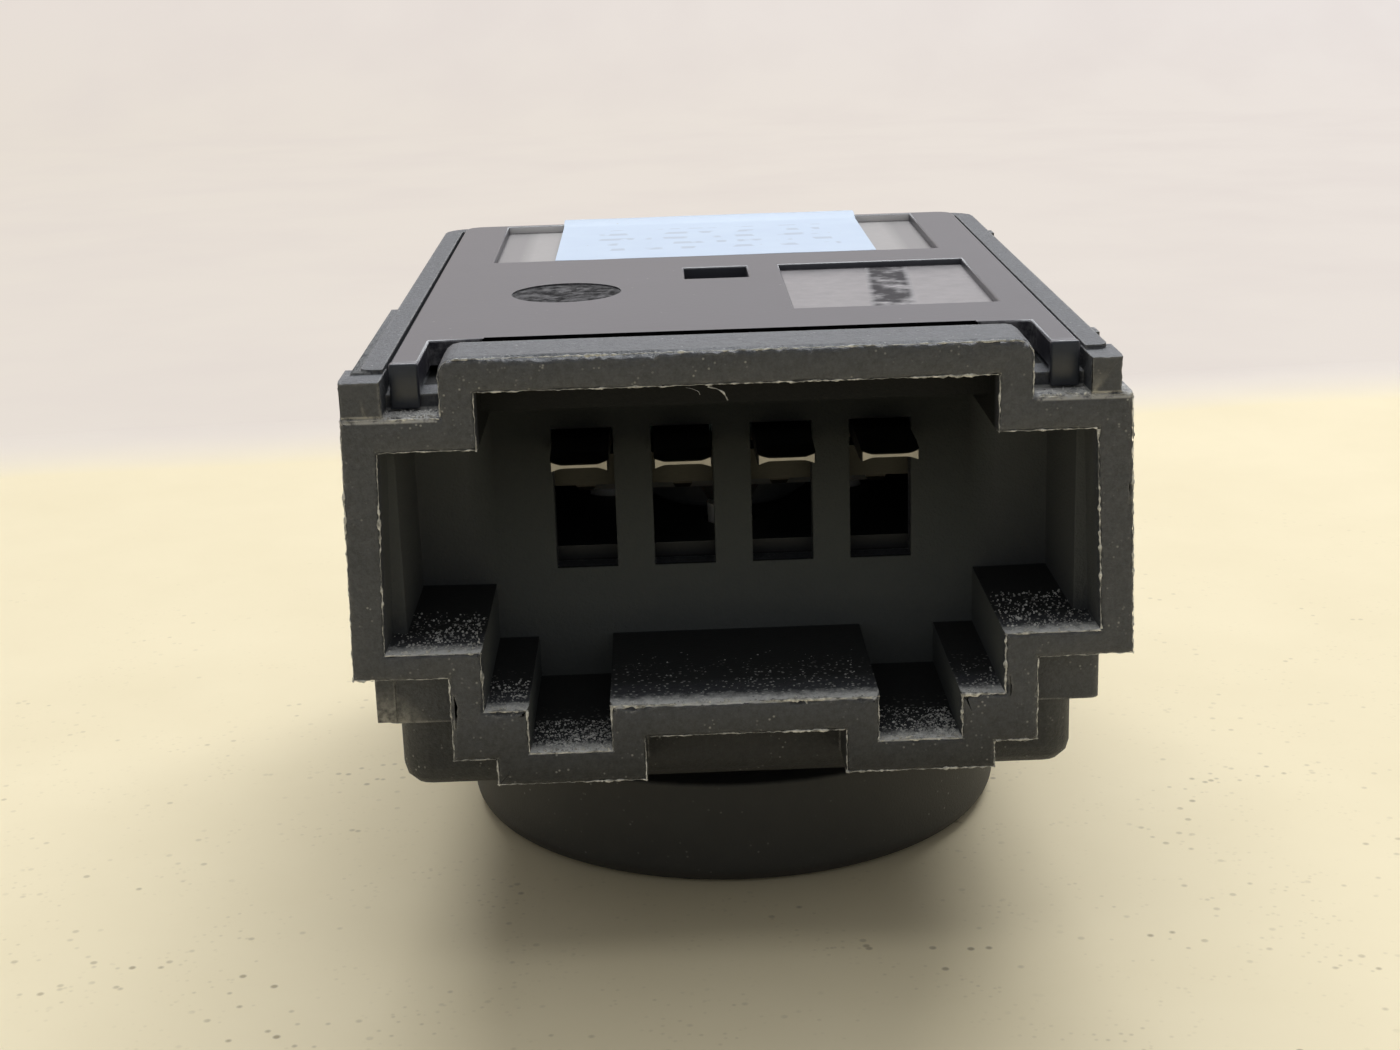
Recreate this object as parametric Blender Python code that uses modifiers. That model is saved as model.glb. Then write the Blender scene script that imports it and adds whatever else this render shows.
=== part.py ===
"""Mirror adjustment switch of a car door: a joystick knob that turns and tilts, in a snap-together case.

The switch lies on its knob face at z = 0. +Z points out of its rear cover, its connector socket faces
-Y, and the knob's axis is the Z axis.
"""

import math

import bmesh
import bpy
from mathutils import Matrix, Vector

MM = 0.001

# Clearances
GAP = 0.3 * MM
RUNNING_GAP = 0.25 * MM
CUT_MARGIN = 1.0 * MM

# Case: the box behind the panel, and the narrower bezel skirt, which stands a little to the left
BOX_WIDTH = 34.2 * MM
BOX_DEPTH = 17.25 * MM
BOX_CORNER = 1.6 * MM
BOX_FRONT_CORNER = 0.5 * MM
SIDE_WALL = 1.05 * MM
LEDGE_WALL = 1.4 * MM
SKIRT_WIDTH = 32.9 * MM
SKIRT_OFFSET = 0.3 * MM
SKIRT_HEIGHT = 4.0 * MM
SKIRT_FRONT_SETBACK = 3.0 * MM
SKIRT_BACK_SETBACK = 1.1 * MM
SKIRT_CORNER = 1.4 * MM
SKIRT_EDGE = 1.1 * MM
SKIRT_WALL = 1.2 * MM
BEZEL_WALL = 1.6 * MM

# Knob
KNOB_RIM_RADIUS = 15.5 * MM
KNOB_TAPER = 0.4 * MM
KNOB_HEIGHT = 6.0 * MM
KNOB_WALL = 1.5 * MM
KNOB_FACE_WALL = 1.8 * MM
KNOB_EDGE = 1.2 * MM
KNOB_TO_BEZEL = 2.2 * MM
NECK_SPHERE = 11.6 * MM
NECK_WALL = 1.2 * MM
NECK_FOOT_DROP = 6.0 * MM
NECK_TOP_DROP = 2.7 * MM
NECK_OPENING_GAP = 0.65 * MM
STEM_RADIUS = 2.8 * MM
STEM_WALL = 1.2 * MM
SHOULDER_RADIUS = 4.0 * MM
PRONG_REACH = 2.7 * MM
PRONG_DEPTH = 1.0 * MM
PRONG_WIDTH = 1.2 * MM
PRONG_LENGTH = 1.9 * MM
POINTER_LENGTH = 4.6 * MM
POINTER_WIDTH = 1.0 * MM
POINTER_THICKNESS = 0.8 * MM
POINTER_FROM_EDGE = 2.1 * MM

# Joystick mechanism
PIVOT_ABOVE_BEZEL = 4.8 * MM
TILT_LIMIT = math.radians(5.0)
RING_PLAY = 0.9 * MM
RING_WALL = 1.5 * MM
RING_HEIGHT = 2.6 * MM
RING_PIN_RADIUS = 0.9 * MM
RING_PIN_END_GAP = 0.9 * MM
SADDLE_FROM_RING = 2.2 * MM
SADDLE_HALF_WIDTH = 2.0 * MM
SADDLE_RISE = 1.6 * MM
ROCKER_RIM = 0.9 * MM
ROCKER_HEIGHT = 1.4 * MM
ROCKER_PIN_RADIUS = 0.8 * MM
ROCKER_WINDOW_RADIUS = 1.3 * MM
HUB_RADIUS = 4.4 * MM
HUB_BELOW = 1.8 * MM
HUB_ABOVE = 1.2 * MM
FOOT_CIRCLE = 6.5 * MM
FOOT_RADIUS = 1.0 * MM
FOOT_RISE = 1.7 * MM
CLIP_THICKNESS = 0.4 * MM
CLIP_RADIUS = 4.0 * MM
CLIP_BORE = 2.45 * MM
CLIP_MOUTH = 3.0 * MM
GROOVE_RADIUS = 2.2 * MM
STEM_HEAD = 0.4 * MM
PUSHER_HEAD_RADIUS = 1.5 * MM
PUSHER_HEAD_HEIGHT = 0.8 * MM
PUSHER_STEM_RADIUS = 1.2 * MM
PUSHER_LENGTH = 3.6 * MM

# Guide frame, selector and detent
GUIDE_THICKNESS = 1.0 * MM
GUIDE_ROOM = 0.3 * MM
GUIDE_HALF_X = 12.3 * MM
GUIDE_PAST_RING = 1.0 * MM
GUIDE_ARM_GAP = 0.2 * MM
GUIDE_ARM_HALF_WIDTH = 2.4 * MM
POST_RADIUS = 1.3 * MM
POST_PIN_RADIUS = 0.6 * MM
POST_PIN_RISE = 0.8 * MM
PILLAR_RADIUS = 1.5 * MM
ROTOR_RADIUS = 4.1 * MM
ROTOR_BELOW_GUIDE = 0.8 * MM
ROTOR_FLANGE_RADIUS = 4.6 * MM
ROTOR_FLANGE_HEIGHT = 1.2 * MM
ROTOR_BOSS_RADIUS = 3.6 * MM
ROTOR_BOSS_HEIGHT = 0.6 * MM
ROTOR_EYE_RADIUS = 1.5 * MM
ROTOR_SLOT_PLAY = 0.75 * MM
ROTOR_ROOF = 1.9 * MM
NOTCH_DEPTH = 0.35 * MM
NOTCH_RADIUS = 0.75 * MM
TURN_STEP = math.radians(45.0)
DETENT_ANGLE = math.radians(45.0)
DETENT_BLOCK_WIDTH = 2.6 * MM
DETENT_BLOCK_HEIGHT = 1.9 * MM
DETENT_BLOCK_END = 9.9 * MM
DETENT_BORE_RADIUS = 0.65 * MM
PLUNGER_RADIUS = 0.4 * MM
PLUNGER_LENGTH = 1.8 * MM
SPRING_LENGTH = 1.9 * MM
SPRING_RADIUS = 0.28 * MM
SPRING_WIRE = 0.1 * MM
SPRING_TURNS = 5
WIPER_INNER = 2.3 * MM
WIPER_OUTER = 3.5 * MM
WIPER_THICKNESS = 0.2 * MM
WIPER_PAD_RADIUS = 0.45 * MM
WIPER_PAD_RISE = 0.2 * MM

# Dome mat and circuit board
DOME_FOOT_RADIUS = 1.9 * MM
DOME_TOP_RADIUS = 1.25 * MM
DOME_HEIGHT = 1.1 * MM
DOME_CAVITY_RADIUS = 1.3 * MM
DOME_CAVITY_TOP_RADIUS = 0.7 * MM
DOME_CAVITY_DEPTH = 1.2 * MM
MAT_THICKNESS = 0.6 * MM
MAT_MARGIN = 2.0 * MM
MAT_CORNER = 2.0 * MM
MAT_HOLE_RADIUS = 4.3 * MM
BOARD_THICKNESS = 1.6 * MM
BOARD_HALF_WIDTH = 13.8 * MM
BOARD_FRONT_GAP = 0.4 * MM
BOARD_BACK_GAP = 1.4 * MM
BOARD_CORNER = 1.0 * MM
BOARD_POST_X = 12.2 * MM
BOARD_POST_FROM_BACK = 4.7 * MM
BOARD_POST_RADIUS = 1.5 * MM
BOARD_PIN_RADIUS = 0.7 * MM
BOARD_PIN_RISE = 0.6 * MM
LAMP_SIZE = (1.6 * MM, 1.0 * MM, 0.35 * MM)
RESISTOR_SIZE = (2.0 * MM, 1.25 * MM, 0.5 * MM)
RESISTOR_SPACING = 4.4 * MM
RESISTOR_Y = 4.0 * MM

# Connector shroud, as rises and drops from the blades' middle plane
PIN_BELOW_RIM = 5.85 * MM
CROWN_RISE = 6.6 * MM
CROWN_HALF = 13.45 * MM
CROWN_DEPTH = 3.7 * MM
CROWN_CORNER = 0.8 * MM
WING_RISE = 3.95 * MM
WING_DROP = 8.58 * MM
WING_HALF_TOP = 17.95 * MM
WING_HALF_BOTTOM = 18.3 * MM
WING_FLOOR = 1.3 * MM
FLOOR_DRAFT = 0.05 * MM
LOWER_HALF = 13.85 * MM
LOWER_DROP = 12.75 * MM
TAB_OUTER = 11.83 * MM
TAB_INNER = 4.7 * MM
TAB_DROP = 14.07 * MM
TONGUE_DROP = 11.9 * MM
SHROUD_WALL = 1.65 * MM
LIP = 1.8 * MM
SOCKET_DEPTH = 10.4 * MM
SOCKET_BACK_WALL = 1.3 * MM
ROOF_WALL = 1.2 * MM
WING_STEP_DEPTH = 2.95 * MM
WING_INSET = 1.15 * MM

# Terminals: flat blades bent down into the board
PIN_PITCH = 5.0 * MM
PIN_COUNT = 4
BLADE_WIDTH = 2.8 * MM
BLADE_THICKNESS = 0.8 * MM
BLADE_SETBACK = 5.5 * MM
BLADE_TIP_LENGTH = 0.7 * MM
BLADE_TIP_WIDTH = 1.9 * MM
LEG_WIDTH = 1.0 * MM
LEG_BEHIND_WALL = 1.4 * MM
LEG_BELOW_BOARD = 0.5 * MM
BEND_RADIUS = 0.9 * MM
WINDOW_SIDE_GAP = 0.15 * MM
WINDOW_DROP = 6.6 * MM

# Rear cover
COVER_THICKNESS = 1.2 * MM
COVER_PROUD = 0.3 * MM
COVER_SIDE_GAP = 0.35 * MM
COVER_CORNER = 1.0 * MM
COVER_FRONT = 5.9 * MM
NOTCH_BACK = 6.7 * MM
NOTCH_INNER_HALF = 11.9 * MM
TONGUE_INNER_HALF = 14.4 * MM
POCKET_HALF = 12.95 * MM
POCKET_LENGTH = 14.4 * MM
POCKET_FROM_BACK = 1.9 * MM
POCKET_DEPTH = 0.45 * MM
PANEL_LEFT = 3.4 * MM
PANEL_RIGHT = 13.7 * MM
PANEL_LENGTH = 13.6 * MM
PANEL_FROM_POCKET = 4.0 * MM
PANEL_DEPTH = 0.35 * MM
MARK_X = -8.3 * MM
MARK_FROM_POCKET = 10.8 * MM
MARK_RADIUS = 2.9 * MM
MARK_DEPTH = 0.3 * MM
SLOT_LEFT = -1.96 * MM
SLOT_RIGHT = 1.55 * MM
SLOT_LENGTH = 3.7 * MM
SLOT_FROM_POCKET = 4.1 * MM
LEG_INNER_GAP = 0.35 * MM
SNAP_LEG_THICKNESS = 1.0 * MM
SNAP_LEG_WIDTH = 4.4 * MM
SNAP_LEG_LENGTH = 5.7 * MM
SNAP_NIB = 1.05 * MM
SNAP_NIB_HEIGHT = 1.7 * MM
SNAP_FLAT = 0.5 * MM
SNAP_Y = (-4.0 * MM, 14.0 * MM)
HOLD_DOWN_RADIUS = 1.2 * MM
HOLD_DOWN_PLACES = ((10.4 * MM, -7.6 * MM), (12.0 * MM, 8.6 * MM))
COVER_RIB_Y = (-1.0 * MM, 8.0 * MM)
COVER_RIB_HALF = 11.0 * MM
COVER_RIB_HEIGHT = 1.2 * MM
COVER_RIB_THICKNESS = 0.8 * MM
SEAT_RIB_Y = (-9.6 * MM, 5.0 * MM, 18.6 * MM)
SEAT_RIB_DEPTH = 1.0 * MM
SEAT_RIB_WIDTH = 1.2 * MM

# Label
LABEL_CLEARANCE = 0.25 * MM
LABEL_HALF = 9.4 * MM
LABEL_FROM_POCKET_FRONT = 0.6 * MM
LABEL_FROM_POCKET_BACK = 0.3 * MM
LABEL_THICKNESS = 0.12 * MM

# Small outer forms of the box sides
LEFT_PAD = 0.4 * MM
LEFT_PAD_END = 17.6 * MM
RIGHT_RIB = 0.3 * MM
RIGHT_RIB_WIDTH = 1.2 * MM
RIGHT_RIB_FROM_FRONT = 5.8 * MM
RIGHT_RIB_FROM_BACK = 8.2 * MM
RIGHT_RIB_BOTTOM = 14.6 * MM
SIDE_FORM_STEP = 0.1 * MM
LEFT_BLOCK_OUTER = 17.9 * MM
RIGHT_BLOCK_OUTER = 17.45 * MM

# Places that follow from the sizes above. The rocker's feet set the gimbal's size, the gimbal sets the
# chamber's front wall, and the socket stands in front of it. The case is as long behind the knob's axis.
ROCKER_RADIUS = FOOT_CIRCLE + ROCKER_RIM
RING_INNER = ROCKER_RADIUS + RING_PLAY
RING_OUTER = RING_INNER + RING_WALL
ROCKER_PIN_REACH = RING_OUTER - GAP
SADDLE_INNER_X = RING_OUTER + SADDLE_FROM_RING
GUIDE_HALF_Y = RING_OUTER + GUIDE_PAST_RING
POST_X = GUIDE_HALF_X - PILLAR_RADIUS
POST_Y = GUIDE_HALF_Y - PILLAR_RADIUS
MAT_HALF = FOOT_CIRCLE + MAT_MARGIN
CHAMBER_FRONT = -GUIDE_HALF_Y - BOARD_FRONT_GAP
SOCKET_END = CHAMBER_FRONT - SOCKET_BACK_WALL
FRONT = SOCKET_END - SOCKET_DEPTH
BACK = -FRONT
BOX_FRONT = FRONT + LIP
BOX_HALF = BOX_WIDTH / 2
SKIRT_HALF = SKIRT_WIDTH / 2
BEZEL_HALF = SKIRT_HALF - SKIRT_OFFSET - SKIRT_WALL
RING_PIN_REACH = BEZEL_HALF - RING_PIN_END_GAP
GUIDE_ARM_X = BEZEL_HALF - GUIDE_ARM_GAP
BEZEL_Z = KNOB_HEIGHT + KNOB_TO_BEZEL
FLOOR_Z = BEZEL_Z + BEZEL_WALL
LEDGE_Z = BEZEL_Z + SKIRT_HEIGHT
RIM_Z = LEDGE_Z + BOX_DEPTH
PIN_Z = RIM_Z - PIN_BELOW_RIM
PIVOT_Z = BEZEL_Z + PIVOT_ABOVE_BEZEL
COVER_TOP = RIM_Z + COVER_PROUD
COVER_UNDER = COVER_TOP - COVER_THICKNESS
COVER_HALF = BOX_HALF - SIDE_WALL - COVER_SIDE_GAP
SEAT_Z = COVER_UNDER - GAP
CHAMBER_HALF = BOX_HALF - SIDE_WALL
HUB_TOP = PIVOT_Z + HUB_ABOVE
CLIP_Z = HUB_TOP + RUNNING_GAP
GROOVE_TOP = CLIP_Z + CLIP_THICKNESS + RUNNING_GAP
STEM_TOP = GROOVE_TOP + STEM_HEAD
FOOT_TOP = PIVOT_Z + FOOT_RISE
PUSHER_Z = FOOT_TOP + GAP
FOOT_TRAVEL = FOOT_CIRCLE * TILT_LIMIT
GUIDE_Z = PUSHER_Z + PUSHER_HEAD_HEIGHT + FOOT_TRAVEL + GUIDE_ROOM
GUIDE_TOP = GUIDE_Z + GUIDE_THICKNESS
FLANGE_Z = GUIDE_TOP + GAP
FLANGE_TOP = FLANGE_Z + ROTOR_FLANGE_HEIGHT
ROTOR_TOP = FLANGE_TOP + ROTOR_BOSS_HEIGHT
MAT_Z = PUSHER_Z + PUSHER_LENGTH + GAP + DOME_HEIGHT
MAT_TOP = MAT_Z + MAT_THICKNESS
BOARD_Z = MAT_TOP + GAP
BOARD_TOP = BOARD_Z + BOARD_THICKNESS
BOARD_FRONT = CHAMBER_FRONT + BOARD_FRONT_GAP
BOARD_BACK = BACK - SIDE_WALL - BOARD_BACK_GAP
DETENT_Z = FLANGE_Z + ROTOR_FLANGE_HEIGHT / 2
PLUNGER_TIP = ROTOR_FLANGE_RADIUS + GAP
LEG_Y = CHAMBER_FRONT + LEG_BEHIND_WALL
KNOB_FACE_RADIUS = KNOB_RIM_RADIUS - KNOB_TAPER
POINTER_FROM_AXIS = KNOB_FACE_RADIUS - POINTER_FROM_EDGE - POINTER_LENGTH / 2
BOARD_POST_Y = BACK - BOARD_POST_FROM_BACK
RIGHT_RIB_Y = (FRONT + RIGHT_RIB_FROM_FRONT, BACK - RIGHT_RIB_FROM_BACK)
POCKET_BACK = BACK - POCKET_FROM_BACK
POCKET_FRONT = POCKET_BACK - POCKET_LENGTH
PIN_X = [(i - (PIN_COUNT - 1) / 2) * PIN_PITCH for i in range(PIN_COUNT)]

for leftover in list(bpy.data.objects):
    bpy.data.objects.remove(leftover)

parts = bpy.data.collections.new("mirror_adjustment_switch")
cutters = bpy.data.collections.new("cutters")
bpy.context.scene.collection.children.link(parts)
bpy.context.scene.collection.children.link(cutters)


def material(name, colour, roughness, metallic=0.0):
    """A plain finish in one colour."""
    finish = bpy.data.materials.new(name)
    finish.use_nodes = True
    shader = finish.node_tree.nodes["Principled BSDF"]
    shader.inputs["Base Color"].default_value = (*colour, 1.0)
    shader.inputs["Roughness"].default_value = roughness
    shader.inputs["Metallic"].default_value = metallic
    return finish


def finished(obj, name, finish):
    """Names a shape as one of the switch's pieces and gives it its finish and smooth shading."""
    obj.name = name
    obj.data.name = name
    obj.data.materials.clear()
    obj.data.materials.append(finish)
    obj.data.shade_smooth()
    obj.data.set_sharp_from_angle(angle=math.radians(35))
    parts.objects.link(obj)
    return obj


def object_from(bm, name):
    """An unlinked object from a bmesh, with its faces pointing out."""
    bmesh.ops.remove_doubles(bm, verts=bm.verts, dist=1e-7)
    bmesh.ops.recalc_face_normals(bm, faces=bm.faces)
    mesh = bpy.data.meshes.new(name)
    bm.to_mesh(mesh)
    bm.free()
    return bpy.data.objects.new(name, mesh)


def box(low, high, name="box"):
    """A box between two corners."""
    bm = bmesh.new()
    size = [b - a for a, b in zip(low, high)]
    middle = [(a + b) / 2 for a, b in zip(low, high)]
    bmesh.ops.create_cube(bm, size=1.0, matrix=Matrix.Translation(middle) @ Matrix.Diagonal((*size, 1.0)))
    return object_from(bm, name)


def rod(radius, start, end, segments=24, end_radius=None, name="rod"):
    """A cylinder or cone between two points."""
    start = Vector(start)
    end = Vector(end)
    along = end - start
    turn = Vector((0, 0, 1)).rotation_difference(along).to_matrix().to_4x4()
    bm = bmesh.new()
    bmesh.ops.create_cone(
        bm,
        cap_ends=True,
        segments=segments,
        radius1=radius,
        radius2=radius if end_radius is None else end_radius,
        depth=along.length,
        matrix=Matrix.Translation((start + end) / 2) @ turn,
    )
    return object_from(bm, name)


def rounded(corners, steps=4):
    """The points of a closed outline. A corner with a third value is rounded with that radius."""
    points = []
    count = len(corners)
    for i, corner in enumerate(corners):
        here = Vector(corner[:2])
        radius = corner[2] if len(corner) > 2 else 0.0
        if not radius:
            points.append(here)
            continue
        to_last = (Vector(corners[i - 1][:2]) - here).normalized()
        to_next = (Vector(corners[(i + 1) % count][:2]) - here).normalized()
        half = to_last.angle(to_next) / 2
        reach = radius / math.tan(half)
        centre = here + (to_last + to_next).normalized() * radius / math.sin(half)
        begin = here + to_last * reach - centre
        end = here + to_next * reach - centre
        sweep = begin.angle_signed(end)
        for step in range(steps + 1):
            angle = -sweep * step / steps
            points.append(centre + Matrix.Rotation(angle, 2) @ begin)
    return points


def both_sides(half):
    """A closed outline from its right half, which runs from top to bottom beside the middle plane."""
    return half + [(-corner[0], *corner[1:]) for corner in reversed(half)]


AXIS_TURN = {
    "Z": Matrix.Identity(4),
    "Y": Matrix(((1, 0, 0, 0), (0, 0, -1, 0), (0, 1, 0, 0), (0, 0, 0, 1))),
    "X": Matrix(((0, 0, 1, 0), (1, 0, 0, 0), (0, 1, 0, 0), (0, 0, 0, 1))),
}
AXIS_DIRECTION = {"Z": Vector((0, 0, 1)), "Y": Vector((0, 1, 0)), "X": Vector((1, 0, 0))}


def plate(corners, low, high, axis="Z", holes=(), edge=0.0, edge_steps=2, name="plate"):
    """A flat outline given thickness between two levels of an axis, with optional holes and rounded edges.

    Its outline is in X and Y for a plate along Z, in X and Z along Y, and in Y and Z along X.
    """
    curve = bpy.data.curves.new(name, "CURVE")
    curve.dimensions = "2D"
    curve.fill_mode = "BOTH"
    curve.extrude = (high - low) / 2 - edge
    curve.bevel_depth = edge
    curve.bevel_resolution = edge_steps
    curve.offset = -edge
    for loop in (rounded(corners), *holes):
        spline = curve.splines.new("POLY")
        spline.points.add(len(loop) - 1)
        for point, place in zip(spline.points, loop):
            point.co = (*place, 0.0, 1.0)
        spline.use_cyclic_u = True
    shape = bpy.data.objects.new(name, curve)
    bpy.context.scene.collection.objects.link(shape)
    bpy.context.view_layer.update()
    mesh = bpy.data.meshes.new_from_object(shape.evaluated_get(bpy.context.evaluated_depsgraph_get()))
    bpy.data.objects.remove(shape)
    mesh.transform(Matrix.Translation(AXIS_DIRECTION[axis] * (low + high) / 2) @ AXIS_TURN[axis])
    bm = bmesh.new()
    bm.from_mesh(mesh)
    bpy.data.meshes.remove(mesh)
    return object_from(bm, name)


def round_hole(x, y, radius, segments=20):
    """The points of a round hole in a plate."""
    turns = [math.tau * i / segments for i in range(segments)]
    return [(x + radius * math.cos(t), y + radius * math.sin(t)) for t in turns]


def turned(profile, steps=40, name="turned"):
    """A piece turned about the Z axis from (radius, height) points, the outer side from top to bottom."""
    closed = profile[0][0] > 0
    edges = [(i, i + 1) for i in range(len(profile) - 1)]
    if closed:
        edges.append((len(profile) - 1, 0))
    mesh = bpy.data.meshes.new(name)
    mesh.from_pydata([(radius, 0.0, height) for radius, height in profile], edges, [])
    shape = bpy.data.objects.new(name, mesh)
    screw = shape.modifiers.new("turn", "SCREW")
    screw.axis = "Z"
    screw.steps = steps
    screw.render_steps = steps
    screw.use_merge_vertices = True
    screw.merge_threshold = 1e-6
    return shape


def helper(obj):
    """Keeps a shape that only cuts or joins another out of the model."""
    cutters.objects.link(obj)
    obj.hide_render = True
    obj.display_type = "WIRE"
    return obj


def combine(target, tools, operation):
    for tool in tools:
        step = target.modifiers.new(operation.lower(), "BOOLEAN")
        step.operation = operation
        step.solver = "EXACT"
        step.object = helper(tool)


def cut(target, *tools):
    """Cuts each tool's shape out of the target."""
    combine(target, tools, "DIFFERENCE")


def join(target, *tools):
    """Joins each tool's shape to the target."""
    combine(target, tools, "UNION")


def shroud_outline():
    """The connector shroud's outer outline: crown, wings, lower step, key tabs and tongue."""
    return both_sides(
        [
            (CROWN_HALF, PIN_Z + CROWN_RISE, CROWN_CORNER),
            (CROWN_HALF, PIN_Z + WING_RISE),
            (WING_HALF_TOP, PIN_Z + WING_RISE),
            (WING_HALF_BOTTOM, PIN_Z - WING_DROP),
            (LOWER_HALF, PIN_Z - WING_DROP - FLOOR_DRAFT),
            (LOWER_HALF, PIN_Z - LOWER_DROP),
            (TAB_OUTER, PIN_Z - LOWER_DROP),
            (TAB_OUTER, PIN_Z - TAB_DROP),
            (TAB_INNER, PIN_Z - TAB_DROP),
            (TAB_INNER, PIN_Z - TONGUE_DROP),
        ]
    )


def socket_outline(ceiling, wing_top, wing_bottom):
    """The socket's inner outline, one wall inside the shroud's."""
    tongue_top = PIN_Z - TONGUE_DROP + SHROUD_WALL
    return both_sides(
        [
            (CROWN_HALF - SHROUD_WALL, ceiling),
            (CROWN_HALF - SHROUD_WALL, PIN_Z + WING_RISE - SHROUD_WALL),
            (wing_top, PIN_Z + WING_RISE - SHROUD_WALL),
            (wing_bottom, PIN_Z - WING_DROP + WING_FLOOR),
            (LOWER_HALF - SHROUD_WALL, PIN_Z - WING_DROP + WING_FLOOR - FLOOR_DRAFT),
            (LOWER_HALF - SHROUD_WALL, tongue_top),
            (TAB_OUTER - SHROUD_WALL, tongue_top),
            (TAB_OUTER - SHROUD_WALL, PIN_Z - TAB_DROP + SHROUD_WALL),
            (TAB_INNER + SHROUD_WALL, PIN_Z - TAB_DROP + SHROUD_WALL),
            (TAB_INNER + SHROUD_WALL, tongue_top + FLOOR_DRAFT),
        ]
    )


def rectangle(half_x, low_y, high_y, front_radius=0.0, back_radius=0.0):
    """A rectangle's corners, centred on X."""
    return [
        (half_x, low_y, front_radius),
        (half_x, high_y, back_radius),
        (-half_x, high_y, back_radius),
        (-half_x, low_y, front_radius),
    ]


def build_housing(finish):
    """One moulding: box, bezel skirt, connector shroud, and the posts and saddles for the mechanism."""
    housing = plate(rectangle(BOX_HALF, BOX_FRONT, BACK, BOX_FRONT_CORNER, BOX_CORNER), LEDGE_Z, RIM_Z)
    skirt_front = FRONT + SKIRT_FRONT_SETBACK
    skirt_back = BACK - SKIRT_BACK_SETBACK
    skirt_corners = rectangle(SKIRT_HALF, skirt_front, skirt_back, SKIRT_CORNER, SKIRT_CORNER)
    skirt = plate(
        [(x - SKIRT_OFFSET, y, corner) for x, y, corner in skirt_corners],
        BEZEL_Z,
        LEDGE_Z + SKIRT_EDGE + LEDGE_WALL / 2,
        edge=SKIRT_EDGE,
    )
    join(housing, skirt)
    chamber_back = BACK - SIDE_WALL
    inner_corner = BOX_CORNER - SIDE_WALL
    cover_seat = plate(
        rectangle(CHAMBER_HALF, FRONT, chamber_back, 0.0, inner_corner), SEAT_Z, RIM_Z + CUT_MARGIN
    )
    upper_chamber = plate(
        rectangle(CHAMBER_HALF, CHAMBER_FRONT, chamber_back, 0.0, inner_corner),
        LEDGE_Z + LEDGE_WALL,
        SEAT_Z + CUT_MARGIN,
    )
    lower_chamber = plate(
        rectangle(BEZEL_HALF, CHAMBER_FRONT, skirt_back - SKIRT_WALL),
        FLOOR_Z,
        LEDGE_Z + LEDGE_WALL + CUT_MARGIN,
    )
    cut(housing, cover_seat, upper_chamber, lower_chamber)
    shroud = plate(shroud_outline(), FRONT, FRONT + CROWN_DEPTH, axis="Y")
    join(housing, shroud)
    join_side_forms(housing)
    cut_socket(housing)
    opening_radius = math.sqrt(NECK_SPHERE**2 - (PIVOT_Z - FLOOR_Z) ** 2) + NECK_OPENING_GAP
    opening_top = PIVOT_Z - NECK_TOP_DROP + NECK_SPHERE * math.sin(TILT_LIMIT) + 2 * GAP
    cut(housing, rod(opening_radius, (0, 0, BEZEL_Z - CUT_MARGIN), (0, 0, opening_top), segments=64))
    join_posts(housing)
    cut_snap_windows(housing)
    return finished(housing, "housing", finish)


def join_side_forms(housing):
    """The thicker front part of the left wall, the walls' front blocks and the two ribs of the right wall."""
    overlap = SIDE_WALL / 2
    top = RIM_Z - SIDE_FORM_STEP
    left_pad = box(
        (-BOX_HALF - LEFT_PAD, BOX_FRONT - SIDE_FORM_STEP, LEDGE_Z + SIDE_FORM_STEP),
        (-BOX_HALF + overlap, FRONT + LEFT_PAD_END, top),
    )
    join(housing, left_pad)
    for edge_x, outer_x in ((-COVER_HALF - GAP, -LEFT_BLOCK_OUTER), (COVER_HALF + GAP, RIGHT_BLOCK_OUTER)):
        low, high = sorted((edge_x, outer_x))
        front_block = box(
            (low, FRONT + SIDE_FORM_STEP, PIN_Z + WING_RISE - overlap),
            (high, BOX_FRONT + 2 * overlap, top - SIDE_FORM_STEP),
        )
        join(housing, front_block)
    for rib_y in RIGHT_RIB_Y:
        rib = box(
            (BOX_HALF - overlap, rib_y - RIGHT_RIB_WIDTH / 2, RIGHT_RIB_BOTTOM),
            (BOX_HALF + RIGHT_RIB, rib_y + RIGHT_RIB_WIDTH / 2, top),
        )
        join(housing, rib)


def cut_socket(housing):
    """The socket: a wide mouth, a narrower deep part, and a window under each blade in its back wall."""
    ceiling = PIN_Z + CROWN_RISE - SHROUD_WALL
    mouth = plate(
        socket_outline(ceiling, WING_HALF_TOP - SHROUD_WALL, WING_HALF_BOTTOM - SHROUD_WALL),
        FRONT - CUT_MARGIN,
        FRONT + WING_STEP_DEPTH,
        axis="Y",
    )
    deep_half = BOX_HALF - WING_INSET
    deep = plate(
        socket_outline(SEAT_Z - ROOF_WALL, deep_half, deep_half),
        FRONT + WING_STEP_DEPTH / 2,
        SOCKET_END,
        axis="Y",
    )
    cut(housing, mouth, deep)
    side = BLADE_WIDTH / 2 + WINDOW_SIDE_GAP
    top = PIN_Z + BLADE_THICKNESS / 2 + GAP
    for x in PIN_X:
        window = box(
            (x - side, SOCKET_END - CUT_MARGIN / 2, PIN_Z - WINDOW_DROP),
            (x + side, CHAMBER_FRONT + CUT_MARGIN / 2, top),
        )
        cut(housing, window)


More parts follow.
